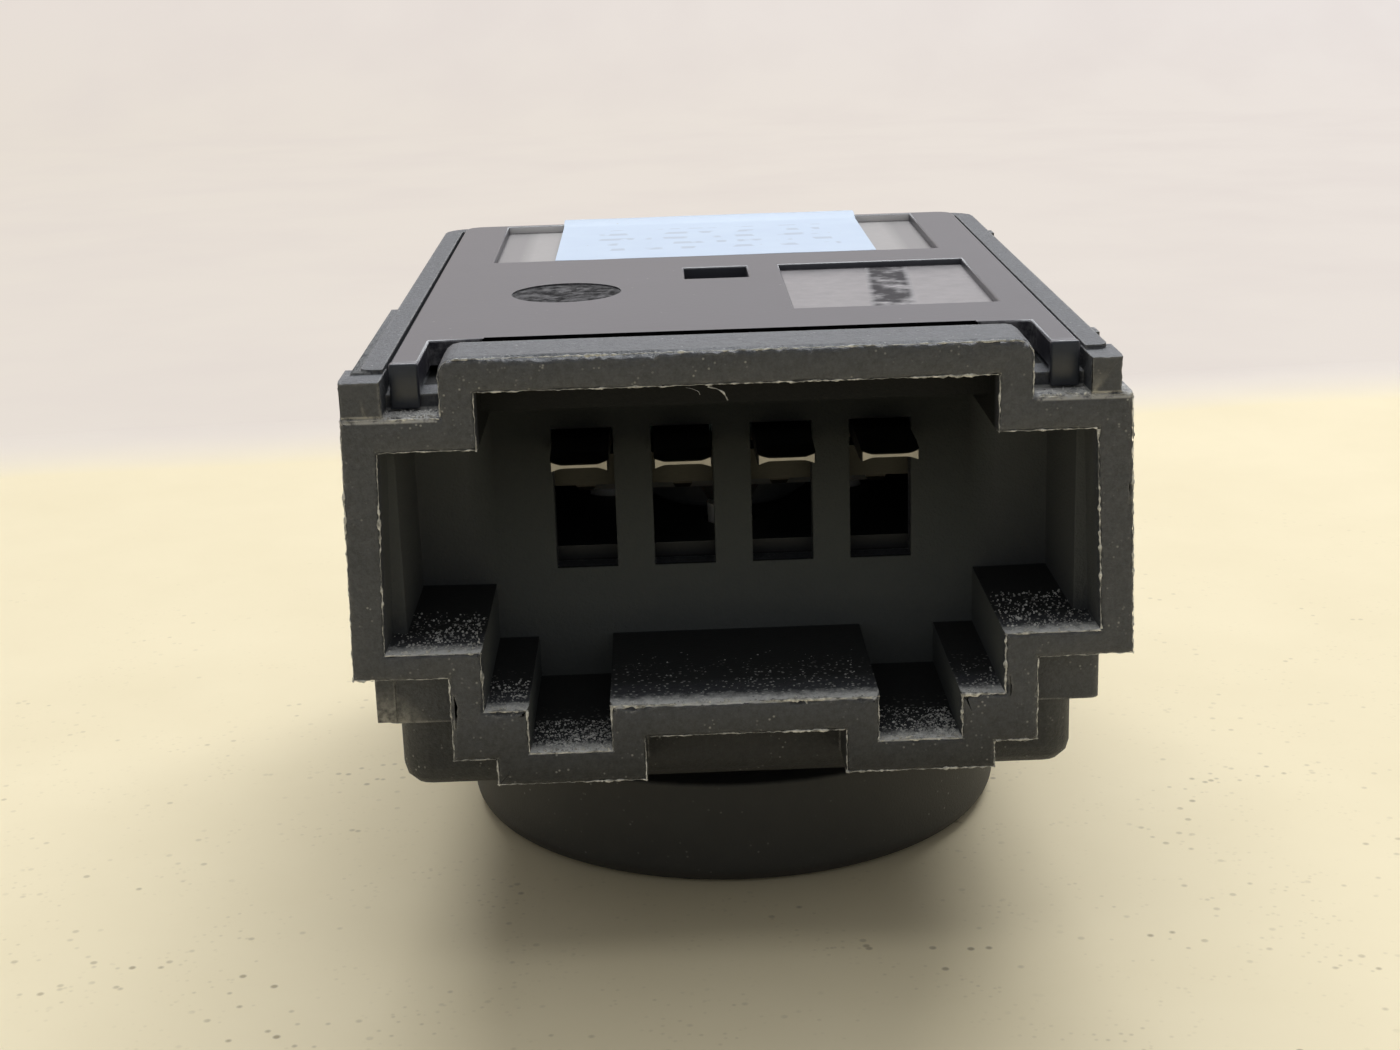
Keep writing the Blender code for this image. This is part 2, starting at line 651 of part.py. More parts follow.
def join_posts(housing):
    """Posts for the guide frame and the board, saddles for the gimbal ring, and ribs that seat the cover."""
    for side_x in (-1, 1):
        for side_y in (-1, 1):
            x, y = side_x * POST_X, side_y * POST_Y
            post_top = GUIDE_Z - GAP
            join(housing, rod(POST_RADIUS, (x, y, FLOOR_Z - GAP), (x, y, post_top)))
            pin_top = GUIDE_TOP + POST_PIN_RISE
            join(housing, rod(POST_PIN_RADIUS, (x, y, post_top - GAP), (x, y, pin_top), segments=16))
        x = side_x * BOARD_POST_X
        post_top = BOARD_Z - GAP
        join(housing, rod(BOARD_POST_RADIUS, (x, BOARD_POST_Y, FLOOR_Z - GAP), (x, BOARD_POST_Y, post_top)))
        pin_top = BOARD_TOP + BOARD_PIN_RISE
        pin_foot = (x, BOARD_POST_Y, post_top - GAP)
        join(housing, rod(BOARD_PIN_RADIUS, pin_foot, (x, BOARD_POST_Y, pin_top), segments=16))
        outer = BEZEL_HALF + GAP
        low, high = sorted((side_x * SADDLE_INNER_X, side_x * outer))
        saddle = box(
            (low, -SADDLE_HALF_WIDTH, FLOOR_Z - GAP), (high, SADDLE_HALF_WIDTH, PIVOT_Z + SADDLE_RISE)
        )
        join(housing, saddle)
        bearing = RING_PIN_RADIUS + RUNNING_GAP
        end = side_x * (outer - GAP / 2)
        start = side_x * (SADDLE_INNER_X - CUT_MARGIN)
        low, high = sorted((start, end))
        cut(housing, rod(bearing, (low, 0, PIVOT_Z), (high, 0, PIVOT_Z)))
        cut(housing, box((low, -bearing, PIVOT_Z), (high, bearing, PIVOT_Z + SADDLE_RISE + CUT_MARGIN)))
        rib_inner = side_x * (CHAMBER_HALF - SEAT_RIB_DEPTH)
        rib_outer = side_x * (CHAMBER_HALF + SIDE_WALL / 2)
        low, high = sorted((rib_inner, rib_outer))
        rib_foot = LEDGE_Z + LEDGE_WALL / 2
        half_rib = SEAT_RIB_WIDTH / 2
        for y in SEAT_RIB_Y:
            join(housing, box((low, y - half_rib, rib_foot), (high, y + half_rib, SEAT_Z)))


def cut_snap_windows(housing):
    """A window in the side wall for each snap leg of the cover."""
    nib_top = COVER_UNDER - SNAP_LEG_LENGTH + SNAP_NIB_HEIGHT
    for side_x in (-1, 1):
        for y in SNAP_Y:
            low, high = sorted((side_x * (CHAMBER_HALF - SIDE_WALL / 2), side_x * (BOX_HALF + CUT_MARGIN)))
            window = box(
                (low, y - SNAP_LEG_WIDTH / 2 - GAP, COVER_UNDER - SNAP_LEG_LENGTH - GAP),
                (high, y + SNAP_LEG_WIDTH / 2 + GAP, nib_top + GAP),
            )
            cut(housing, window)


def build_rear_cover(finish):
    """The cover between the rims: plate with tongues, pocket, panel and moulding mark, and its snap legs."""
    tongue_front = BOX_FRONT
    outline = [
        (NOTCH_INNER_HALF, FRONT + COVER_FRONT),
        (NOTCH_INNER_HALF, FRONT + NOTCH_BACK),
        (TONGUE_INNER_HALF, FRONT + NOTCH_BACK),
        (TONGUE_INNER_HALF, tongue_front),
        (COVER_HALF, tongue_front),
        (COVER_HALF, BACK - SIDE_WALL - COVER_SIDE_GAP, COVER_CORNER),
    ]
    cover = plate(both_sides(outline), COVER_UNDER, COVER_TOP)
    above = COVER_TOP + CUT_MARGIN
    pocket_floor = COVER_TOP - POCKET_DEPTH
    pocket = box((-POCKET_HALF, POCKET_FRONT, pocket_floor), (POCKET_HALF, POCKET_BACK, above))
    panel_back = POCKET_FRONT - PANEL_FROM_POCKET
    panel_floor = COVER_TOP - PANEL_DEPTH
    panel = box((PANEL_LEFT, panel_back - PANEL_LENGTH, panel_floor), (PANEL_RIGHT, panel_back, above))
    slot_back = POCKET_FRONT - SLOT_FROM_POCKET
    slot_floor = COVER_UNDER - CUT_MARGIN
    slot = box((SLOT_LEFT, slot_back - SLOT_LENGTH, slot_floor), (SLOT_RIGHT, slot_back, above))
    mark_y = POCKET_FRONT - MARK_FROM_POCKET
    mark = rod(MARK_RADIUS, (MARK_X, mark_y, COVER_TOP - MARK_DEPTH), (MARK_X, mark_y, above), segments=32)
    cut(cover, pocket, panel, slot, mark)
    root = (COVER_UNDER + pocket_floor) / 2
    for side_x in (-1, 1):
        for y in SNAP_Y:
            join(cover, snap_leg(side_x, y, root))
        for x, y in HOLD_DOWN_PLACES:
            join(cover, rod(HOLD_DOWN_RADIUS, (side_x * x, y, BOARD_TOP + GAP), (side_x * x, y, root)))
    for y in COVER_RIB_Y:
        rib = box(
            (-COVER_RIB_HALF, y - COVER_RIB_THICKNESS / 2, COVER_UNDER - COVER_RIB_HEIGHT),
            (COVER_RIB_HALF, y + COVER_RIB_THICKNESS / 2, root),
        )
        join(cover, rib)
    return finished(cover, "rear_cover", finish)


def snap_leg(side_x, y, root):
    """A springy leg with a nib that catches in the side wall's window."""
    outer = CHAMBER_HALF - LEG_INNER_GAP
    inner = outer - SNAP_LEG_THICKNESS
    end = COVER_UNDER - SNAP_LEG_LENGTH
    nib_top = end + SNAP_NIB_HEIGHT
    outline = [
        (inner, root),
        (outer, root),
        (outer, nib_top),
        (outer + SNAP_NIB, nib_top),
        (outer + SNAP_NIB, nib_top - SNAP_FLAT),
        (outer, end),
        (inner, end),
    ]
    placed = [(side_x * x, z) for x, z in outline]
    return plate(placed, y - SNAP_LEG_WIDTH / 2, y + SNAP_LEG_WIDTH / 2, axis="Y")


def build_label(finish):
    """A paper label in the cover's pocket."""
    floor = COVER_TOP - POCKET_DEPTH + LABEL_CLEARANCE
    front = POCKET_FRONT + LABEL_FROM_POCKET_FRONT
    back = POCKET_BACK - LABEL_FROM_POCKET_BACK
    label = box((-LABEL_HALF, front, floor), (LABEL_HALF, back, floor + LABEL_THICKNESS))
    return finished(label, "label", finish)


def build_terminals(finish):
    """Flat blades with tapered tips, each bent down and narrowed to a leg through the board."""
    under = PIN_Z - BLADE_THICKNESS / 2
    over = PIN_Z + BLADE_THICKNESS / 2
    half = BLADE_WIDTH / 2
    tip = FRONT + BLADE_SETBACK
    leg_front = LEG_Y - BLADE_THICKNESS / 2
    leg_back = LEG_Y + BLADE_THICKNESS / 2
    shoulder = BOARD_TOP + GAP
    overlap = BEND_RADIUS
    for number, x in enumerate(PIN_X, start=1):
        plan = [
            (x + half, SOCKET_END + overlap),
            (x - half, SOCKET_END + overlap),
            (x - half, tip + BLADE_TIP_LENGTH),
            (x - BLADE_TIP_WIDTH / 2, tip),
            (x + BLADE_TIP_WIDTH / 2, tip),
            (x + half, tip + BLADE_TIP_LENGTH),
        ]
        terminal = plate(plan, under, over)
        bend = [
            (SOCKET_END, over),
            (leg_back, over, BEND_RADIUS),
            (leg_back, shoulder),
            (leg_front, shoulder),
            (leg_front, under),
            (SOCKET_END, under),
        ]
        leg = box(
            (x - LEG_WIDTH / 2, leg_front, BOARD_Z - LEG_BELOW_BOARD),
            (x + LEG_WIDTH / 2, leg_back, shoulder + GAP),
        )
        join(terminal, plate(bend, x - half, x + half, axis="X"), leg)
        finished(terminal, f"terminal_{number}", finish)


def arc(radius, centre_z, low_z, high_z, steps=4):
    """Points of a sphere's side in a turned profile, from one height to another."""
    heights = [low_z + (high_z - low_z) * i / steps for i in range(steps + 1)]
    return [(math.sqrt(radius**2 - (z - centre_z) ** 2), z) for z in heights]


def build_knob(finish):
    """The knob: face, rim, ball-shaped neck, and the stem that the rocker carries."""
    bore = STEM_RADIUS - STEM_WALL
    neck_foot = PIVOT_Z - NECK_FOOT_DROP
    neck_top = PIVOT_Z - NECK_TOP_DROP
    inner_sphere = NECK_SPHERE - NECK_WALL
    neck_outer = arc(NECK_SPHERE, PIVOT_Z, neck_top, neck_foot)
    neck_inner = arc(inner_sphere, PIVOT_Z, neck_foot, neck_top)
    edge_centre = (KNOB_FACE_RADIUS - KNOB_EDGE, KNOB_EDGE)
    edge = [
        (edge_centre[0] + KNOB_EDGE * math.cos(angle), edge_centre[1] - KNOB_EDGE * math.sin(angle))
        for angle in (math.pi / 2 * i / 4 for i in range(5))
    ]
    profile = [
        (0.0, KNOB_FACE_WALL - GAP),
        (bore, KNOB_FACE_WALL - GAP),
        (bore, STEM_TOP),
        (STEM_RADIUS, STEM_TOP),
        (STEM_RADIUS, GROOVE_TOP),
        (GROOVE_RADIUS, GROOVE_TOP),
        (GROOVE_RADIUS, HUB_TOP),
        (STEM_RADIUS, HUB_TOP),
        (STEM_RADIUS, PIVOT_Z - HUB_BELOW - GAP),
        (SHOULDER_RADIUS, PIVOT_Z - HUB_BELOW - GAP),
        (SHOULDER_RADIUS, KNOB_FACE_WALL),
        (neck_inner[0][0], KNOB_FACE_WALL),
        *neck_inner,
        *neck_outer,
        (neck_outer[-1][0], KNOB_FACE_WALL),
        (KNOB_FACE_RADIUS - KNOB_WALL, KNOB_FACE_WALL),
        (KNOB_RIM_RADIUS - KNOB_WALL, KNOB_HEIGHT),
        (KNOB_RIM_RADIUS, KNOB_HEIGHT),
        *edge,
        (0.0, 0.0),
    ]
    knob = turned(profile, steps=48)
    for side in (-1, 1):
        low, high = sorted((side * PRONG_REACH, side * (PRONG_REACH - PRONG_DEPTH)))
        prong = box(
            (low, -PRONG_WIDTH / 2, STEM_TOP - STEM_HEAD / 2),
            (high, PRONG_WIDTH / 2, STEM_TOP + PRONG_LENGTH),
        )
        join(knob, prong)
    pointer_slot = box(
        (-POINTER_WIDTH / 2 - GAP, POINTER_FROM_AXIS - POINTER_LENGTH / 2 - GAP, -CUT_MARGIN),
        (POINTER_WIDTH / 2 + GAP, POINTER_FROM_AXIS + POINTER_LENGTH / 2 + GAP, POINTER_THICKNESS + GAP),
    )
    cut(knob, pointer_slot)
    return finished(knob, "knob", finish)


def build_pointer(finish):
    """The translucent pointer in the knob's face."""
    pointer = box(
        (-POINTER_WIDTH / 2, POINTER_FROM_AXIS - POINTER_LENGTH / 2, 0.0),
        (POINTER_WIDTH / 2, POINTER_FROM_AXIS + POINTER_LENGTH / 2, POINTER_THICKNESS),
    )
    return finished(pointer, "knob_pointer", finish)


def build_light_guide(finish):
    """A clear rod in the stem that carries the lamp's light to the face."""
    radius = STEM_RADIUS - STEM_WALL - GAP
    guide = rod(radius, (0, 0, KNOB_FACE_WALL), (0, 0, STEM_TOP - GAP), segments=20)
    return finished(guide, "light_guide", finish)


def build_retaining_ring(finish):
    """An open spring-steel ring in the stem's groove, on top of the rocker's hub."""
    ring = turned(
        [
            (CLIP_BORE, CLIP_Z + CLIP_THICKNESS),
            (CLIP_RADIUS, CLIP_Z + CLIP_THICKNESS),
            (CLIP_RADIUS, CLIP_Z),
            (CLIP_BORE, CLIP_Z),
        ],
        steps=32,
    )
    mouth = box(
        (-CLIP_MOUTH / 2, 0.0, CLIP_Z - CUT_MARGIN),
        (CLIP_MOUTH / 2, CLIP_RADIUS + CUT_MARGIN, CLIP_Z + CLIP_THICKNESS + CUT_MARGIN),
    )
    cut(ring, mouth)
    return finished(ring, "retaining_ring", finish)


def build_gimbal_ring(finish):
    """The ring that tilts about X on its two pins and carries the rocker's pins."""
    low = PIVOT_Z - RING_HEIGHT / 2
    high = PIVOT_Z + RING_HEIGHT / 2
    ring = turned([(RING_INNER, high), (RING_OUTER, high), (RING_OUTER, low), (RING_INNER, low)], steps=48)
    for side in (-1, 1):
        inner = side * (RING_INNER + RING_OUTER) / 2
        outer = side * RING_PIN_REACH
        join(ring, rod(RING_PIN_RADIUS - GAP / 2, (inner, 0, PIVOT_Z), (outer, 0, PIVOT_Z), 20))
        bore = ROCKER_PIN_RADIUS - GAP / 2 + RUNNING_GAP
        start = side * (RING_INNER - CUT_MARGIN)
        end = side * (RING_OUTER + CUT_MARGIN)
        cut(ring, rod(bore, (0, start, PIVOT_Z), (0, end, PIVOT_Z), 20))
    return finished(ring, "gimbal_ring", finish)


def build_rocker(finish):
    """The rocker: hub on the knob's stem, disc with four windows, two pins and four feet."""
    low = PIVOT_Z - ROCKER_HEIGHT / 2
    high = PIVOT_Z + ROCKER_HEIGHT / 2
    bore = STEM_RADIUS + RUNNING_GAP
    rocker = turned(
        [
            (bore, HUB_TOP),
            (HUB_RADIUS, HUB_TOP),
            (HUB_RADIUS, high),
            (ROCKER_RADIUS, high),
            (ROCKER_RADIUS, low),
            (HUB_RADIUS, low),
            (HUB_RADIUS, PIVOT_Z - HUB_BELOW),
            (bore, PIVOT_Z - HUB_BELOW),
        ],
        steps=48,
    )
    for side in (-1, 1):
        start = side * (ROCKER_RADIUS - GAP)
        radius = ROCKER_PIN_RADIUS - GAP / 2
        join(rocker, rod(radius, (0, start, PIVOT_Z), (0, side * ROCKER_PIN_REACH, PIVOT_Z), 20))
    for quarter in range(4):
        angle = quarter * math.pi / 2
        x, y = FOOT_CIRCLE * math.cos(angle), FOOT_CIRCLE * math.sin(angle)
        foot_low = high - ROCKER_HEIGHT / 4
        join(rocker, rod(FOOT_RADIUS - GAP / 2, (x, y, foot_low), (x, y, FOOT_TOP), 16))
        between = angle + math.pi / 4
        circle = (HUB_RADIUS + ROCKER_RADIUS) / 2
        x, y = circle * math.cos(between), circle * math.sin(between)
        window = rod(ROCKER_WINDOW_RADIUS, (x, y, low - CUT_MARGIN), (x, y, high + CUT_MARGIN), 20)
        cut(rocker, window)
    return finished(rocker, "rocker", finish)


def build_pushers(finish):
    """Four headed pins between the rocker's feet and the domes, one mesh in four places."""
    head_top = PUSHER_HEAD_HEIGHT
    shape = turned(
        [
            (0.0, PUSHER_LENGTH),
            (PUSHER_STEM_RADIUS, PUSHER_LENGTH),
            (PUSHER_STEM_RADIUS, head_top),
            (PUSHER_HEAD_RADIUS, head_top),
            (PUSHER_HEAD_RADIUS, 0.0),
            (0.0, 0.0),
        ],
        steps=24,
    )
    places = {"right": (1, 0), "rear": (0, 1), "left": (-1, 0), "front": (0, -1)}
    pushers = {}
    for place, (x, y) in places.items():
        pusher = shape.copy()
        pusher.data = shape.data.copy()
        pusher.location = (x * FOOT_CIRCLE, y * FOOT_CIRCLE, PUSHER_Z)
        pushers[place] = finished(pusher, f"pusher_{place}", finish)
    bpy.data.objects.remove(shape)
    return pushers


def along_detent(distance, height=0.0):
    """A point on the detent's line, at a distance from the knob's axis."""
    return (
        distance * math.cos(DETENT_ANGLE),
        distance * math.sin(DETENT_ANGLE),
        DETENT_Z + height,
    )


def build_guide_frame(finish):
    """The frame that guides the pushers and the rotor, closes the gimbal's saddles and holds the detent."""
    half_arm = GUIDE_ARM_HALF_WIDTH
    outline = both_sides(
        [
            (GUIDE_HALF_X, GUIDE_HALF_Y, GAP),
            (GUIDE_HALF_X, half_arm),
            (GUIDE_ARM_X, half_arm),
            (GUIDE_ARM_X, -half_arm),
            (GUIDE_HALF_X, -half_arm),
            (GUIDE_HALF_X, -GUIDE_HALF_Y, GAP),
        ]
    )
    holes = [round_hole(0, 0, ROTOR_RADIUS + GAP, 40)]
    for quarter in range(4):
        angle = quarter * math.pi / 2
        x, y = FOOT_CIRCLE * math.cos(angle), FOOT_CIRCLE * math.sin(angle)
        holes.append(round_hole(x, y, PUSHER_STEM_RADIUS + RUNNING_GAP))
    posts = [(side_x * POST_X, side_y * POST_Y) for side_x in (-1, 1) for side_y in (-1, 1)]
    pin_hole = POST_PIN_RADIUS + RUNNING_GAP
    holes += [round_hole(x, y, pin_hole) for x, y in posts]
    frame = plate(outline, GUIDE_Z, GUIDE_TOP, holes=holes)
    for x, y in posts:
        top = BOARD_Z - GAP
        pillar = plate(
            round_hole(x, y, PILLAR_RADIUS, 24), GUIDE_TOP - GAP, top, holes=[round_hole(x, y, pin_hole)]
        )
        join(frame, pillar)
    for side in (-1, 1):
        low, high = sorted((side * (SADDLE_INNER_X + GAP), side * GUIDE_ARM_X))
        half = RING_PIN_RADIUS
        key = box((low, -half, PIVOT_Z + RING_PIN_RADIUS + RUNNING_GAP), (high, half, GUIDE_Z + GAP))
        join(frame, key)
    turn = Matrix.Rotation(DETENT_ANGLE, 4, "Z")
    block = box(
        (ROTOR_FLANGE_RADIUS + 2 * GAP, -DETENT_BLOCK_WIDTH / 2, GUIDE_TOP - GAP),
        (DETENT_BLOCK_END, DETENT_BLOCK_WIDTH / 2, GUIDE_TOP + DETENT_BLOCK_HEIGHT),
    )
    block.data.transform(turn)
    join(frame, block)
    bore_end = PLUNGER_TIP + PLUNGER_LENGTH + SPRING_LENGTH + 2 * GAP
    cut(frame, rod(DETENT_BORE_RADIUS, along_detent(ROTOR_FLANGE_RADIUS - GAP), along_detent(bore_end), 20))
    return finished(frame, "guide_frame", finish)


def build_rotor(finish):
    """The selector rotor: turned by the stem's prongs, with a detent notch for each position."""
    eye = ROTOR_EYE_RADIUS
    bottom = GUIDE_Z - ROTOR_BELOW_GUIDE
    rotor = turned(
        [
            (eye, ROTOR_TOP),
            (ROTOR_BOSS_RADIUS, ROTOR_TOP),
            (ROTOR_BOSS_RADIUS, FLANGE_TOP),
            (ROTOR_FLANGE_RADIUS, FLANGE_TOP),
            (ROTOR_FLANGE_RADIUS, FLANGE_Z),
            (ROTOR_RADIUS, FLANGE_Z),
            (ROTOR_RADIUS, bottom),
            (eye, bottom),
        ],
        steps=48,
    )
    half_length = PRONG_REACH + ROTOR_SLOT_PLAY
    half_width = PRONG_WIDTH / 2 + ROTOR_SLOT_PLAY
    slot_end = ROTOR_TOP - ROTOR_ROOF
    cut(rotor, box((-half_length, -half_width, bottom - CUT_MARGIN), (half_length, half_width, slot_end)))
    for position in (-1, 0, 1):
        angle = DETENT_ANGLE + position * TURN_STEP
        reach = ROTOR_FLANGE_RADIUS - NOTCH_DEPTH + NOTCH_RADIUS
        x, y = reach * math.cos(angle), reach * math.sin(angle)
        cut(rotor, rod(NOTCH_RADIUS, (x, y, FLANGE_Z - GAP / 2), (x, y, FLANGE_TOP + GAP), 16))
    return finished(rotor, "selector_rotor", finish)


def build_wiper(finish):
    """The wiper contact on the rotor: a thin ring with three raised pads."""
    low = ROTOR_TOP + GAP
    high = low + WIPER_THICKNESS
    section = [(WIPER_INNER, high), (WIPER_OUTER, high), (WIPER_OUTER, low), (WIPER_INNER, low)]
    wiper = turned(section, steps=32)
    middle = (WIPER_INNER + WIPER_OUTER) / 2
    for third in range(3):
        angle = math.tau * third / 3 + math.pi / 2
        x, y = middle * math.cos(angle), middle * math.sin(angle)
        start = low + WIPER_THICKNESS / 2
        join(wiper, rod(WIPER_PAD_RADIUS, (x, y, start), (x, y, high + WIPER_PAD_RISE), 12))
    return finished(wiper, "wiper_contact", finish)


def build_detent(plunger_finish, spring_finish):
    """The sprung plunger that drops into the rotor's notches."""
    plunger = turned(
        [
            (0.0, PLUNGER_LENGTH),
            (PLUNGER_RADIUS, PLUNGER_LENGTH),
            (PLUNGER_RADIUS, PLUNGER_RADIUS),
            (PLUNGER_RADIUS * 0.85, PLUNGER_RADIUS * 0.45),
            (PLUNGER_RADIUS * 0.5, PLUNGER_RADIUS * 0.15),
            (0.0, 0.0),
        ],
        steps=16,
    )
    plunger.rotation_euler = (0.0, math.pi / 2, DETENT_ANGLE)
    plunger.location = along_detent(PLUNGER_TIP)
    finished(plunger, "detent_plunger", plunger_finish)
    end = PLUNGER_TIP + PLUNGER_LENGTH
    points = SPRING_TURNS * 8
    first = end + GAP
    curve = bpy.data.curves.new("detent_spring", "CURVE")
    curve.dimensions = "3D"
    curve.bevel_depth = SPRING_WIRE
    curve.bevel_resolution = 2
    curve.use_fill_caps = True
    spline = curve.splines.new("POLY")
    spline.points.add(points)
    out = Vector((math.cos(DETENT_ANGLE), math.sin(DETENT_ANGLE), 0.0))
    side = Vector((-out.y, out.x, 0.0))
    up = Vector((0.0, 0.0, 1.0))
    run = SPRING_LENGTH - 2 * SPRING_WIRE
    for i, point in enumerate(spline.points):
        angle = math.tau * SPRING_TURNS * i / points
        round_part = side * math.cos(angle) + up * math.sin(angle)
        distance = first + SPRING_WIRE + run * i / points
        point.co = (*(out * distance + up * DETENT_Z + round_part * SPRING_RADIUS), 1.0)
    spring = bpy.data.objects.new("detent_spring", curve)
    spring.data.materials.append(spring_finish)
    parts.objects.link(spring)


def build_dome_mat(finish):
    """Silicone mat with four hollow domes under the board."""
    mat = plate(
        rectangle(MAT_HALF, -MAT_HALF, MAT_HALF, MAT_CORNER, MAT_CORNER),
        MAT_Z,
        MAT_TOP,
        holes=[round_hole(0, 0, MAT_HOLE_RADIUS, 32)],
    )
    for quarter in range(4):
        angle = quarter * math.pi / 2
        x, y = FOOT_CIRCLE * math.cos(angle), FOOT_CIRCLE * math.sin(angle)
        foot = DOME_FOOT_RADIUS
        slope = (foot - DOME_TOP_RADIUS) / DOME_HEIGHT
        rise = MAT_THICKNESS / 2
        dome = rod(
            DOME_TOP_RADIUS, (x, y, MAT_Z - DOME_HEIGHT), (x, y, MAT_Z + rise), 20, foot + slope * rise
        )
        join(mat, dome)
        cavity_end = MAT_TOP - DOME_CAVITY_DEPTH
        cavity = rod(
            DOME_CAVITY_TOP_RADIUS, (x, y, cavity_end), (x, y, MAT_TOP + GAP), 16, DOME_CAVITY_RADIUS
        )
        cut(mat, cavity)
    return finished(mat, "dome_mat", finish)


def build_board(finish):
    """The circuit board, with holes for the terminals' legs and the two locating pins."""
    leg_hole = math.hypot(LEG_WIDTH, BLADE_THICKNESS) / 2 + GAP
    holes = [round_hole(x, LEG_Y, leg_hole) for x in PIN_X]
    pin_hole = BOARD_PIN_RADIUS + GAP
    holes += [round_hole(side * BOARD_POST_X, BOARD_POST_Y, pin_hole) for side in (-1, 1)]
    outline = rectangle(BOARD_HALF_WIDTH, BOARD_FRONT, BOARD_BACK, 0.0, BOARD_CORNER)
    board = plate(outline, BOARD_Z, BOARD_TOP, holes=holes)
    return finished(board, "circuit_board", finish)


def build_board_parts(lamp_finish, resistor_finish):
    """The lamp under the board's middle and the three resistors on top of it."""
    half_x, half_y = LAMP_SIZE[0] / 2, LAMP_SIZE[1] / 2
    top = BOARD_Z - GAP
    finished(box((-half_x, -half_y, top - LAMP_SIZE[2]), (half_x, half_y, top)), "lamp", lamp_finish)
    half_x, half_y = RESISTOR_SIZE[0] / 2, RESISTOR_SIZE[1] / 2
    low = BOARD_TOP + GAP
    for number in range(1, 4):
        x = (number - 2) * RESISTOR_SPACING
        chip = box(
            (x - half_x, RESISTOR_Y - half_y, low), (x + half_x, RESISTOR_Y + half_y, low + RESISTOR_SIZE[2])
        )
        finished(chip, f"resistor_{number}", resistor_finish)


def pivot(name, parent=None):
    """An empty on the gimbal's centre, which a tilting or turning piece hangs from."""
    empty = bpy.data.objects.new(name, None)
    parts.objects.link(empty)
    if parent:
        empty.parent = parent
    else:
        empty.location = (0.0, 0.0, PIVOT_Z)
    return empty


def hang(child, parent):
    """Parents a piece that is modelled in place, so that it stays where it is."""
    child.parent = parent
    child.matrix_parent_inverse = Matrix.Translation((0.0, 0.0, -PIVOT_Z))


black = material("black_moulding", (0.018, 0.018, 0.02), 0.55)
cover_black = material("cover_moulding", (0.03, 0.03, 0.033), 0.4)
knob_black = material("knob_moulding", (0.015, 0.015, 0.016), 0.5)
paper = material("label_paper", (0.72, 0.8, 0.86), 0.6)
white_insert = material("pointer_insert", (0.85, 0.85, 0.82), 0.4)
clear = material("clear_guide", (0.85, 0.88, 0.88), 0.1)
tin = material("tinned_terminal", (0.55, 0.53, 0.5), 0.35, 1.0)
spring_steel = material("spring_steel", (0.5, 0.5, 0.52), 0.3, 1.0)
dark_grey = material("dark_grey_moulding", (0.06, 0.06, 0.062), 0.5)
grey = material("grey_moulding", (0.1, 0.1, 0.105), 0.5)
silicone = material("silicone", (0.08, 0.08, 0.085), 0.7)
laminate = material("board_laminate", (0.01, 0.06, 0.03), 0.4)
lamp_white = material("lamp_body", (0.9, 0.85, 0.6), 0.4)
chip_black = material("chip_body", (0.03, 0.03, 0.03), 0.4)
bronze = material("contact_bronze", (0.6, 0.4, 0.2), 0.3, 1.0)

build_housing(black)
build_rear_cover(cover_black)
build_label(paper)
build_terminals(tin)
build_guide_frame(dark_grey)
build_detent(spring_steel, spring_steel)
build_dome_mat(silicone)
build_board(laminate)
build_board_parts(lamp_white, chip_black)
build_pushers(dark_grey)

tilt_x_axis = pivot("tilt_x_axis")
tilt_y_axis = pivot("tilt_y_axis", tilt_x_axis)
knob_axis = pivot("knob_axis", tilt_y_axis)
hang(build_gimbal_ring(grey), tilt_x_axis)
hang(build_rocker(grey), tilt_y_axis)
for piece in (
    build_knob(knob_black),
    build_pointer(white_insert),
    build_light_guide(clear),
    build_retaining_ring(spring_steel),
):
    hang(piece, knob_axis)
selector_axis = pivot("selector_axis")
hang(build_rotor(dark_grey), selector_axis)
hang(build_wiper(bronze), selector_axis)
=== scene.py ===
"""A car mirror adjustment switch as it lies on a table: on its knob, its connector socket to the camera."""

import math

import bmesh
import bpy
from mathutils import Matrix, Vector, noise


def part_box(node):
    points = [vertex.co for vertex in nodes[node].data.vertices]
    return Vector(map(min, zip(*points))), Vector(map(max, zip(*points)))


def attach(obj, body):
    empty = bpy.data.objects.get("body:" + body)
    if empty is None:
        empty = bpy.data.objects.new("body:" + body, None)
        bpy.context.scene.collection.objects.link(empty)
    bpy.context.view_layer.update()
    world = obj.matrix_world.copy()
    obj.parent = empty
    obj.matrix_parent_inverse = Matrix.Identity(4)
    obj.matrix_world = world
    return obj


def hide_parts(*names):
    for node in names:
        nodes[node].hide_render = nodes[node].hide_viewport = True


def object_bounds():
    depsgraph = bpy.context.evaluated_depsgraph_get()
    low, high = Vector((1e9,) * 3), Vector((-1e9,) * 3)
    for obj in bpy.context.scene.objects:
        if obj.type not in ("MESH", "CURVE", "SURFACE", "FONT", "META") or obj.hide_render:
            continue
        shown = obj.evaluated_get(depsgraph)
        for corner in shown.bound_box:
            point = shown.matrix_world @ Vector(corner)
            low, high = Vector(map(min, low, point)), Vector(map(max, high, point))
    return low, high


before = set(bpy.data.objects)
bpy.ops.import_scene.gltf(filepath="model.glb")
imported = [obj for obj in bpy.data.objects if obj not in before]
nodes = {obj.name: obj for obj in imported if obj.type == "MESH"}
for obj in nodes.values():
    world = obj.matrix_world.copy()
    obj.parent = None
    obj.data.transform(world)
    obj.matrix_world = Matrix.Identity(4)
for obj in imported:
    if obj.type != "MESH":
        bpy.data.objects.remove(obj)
cad_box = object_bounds()
MM = 0.001

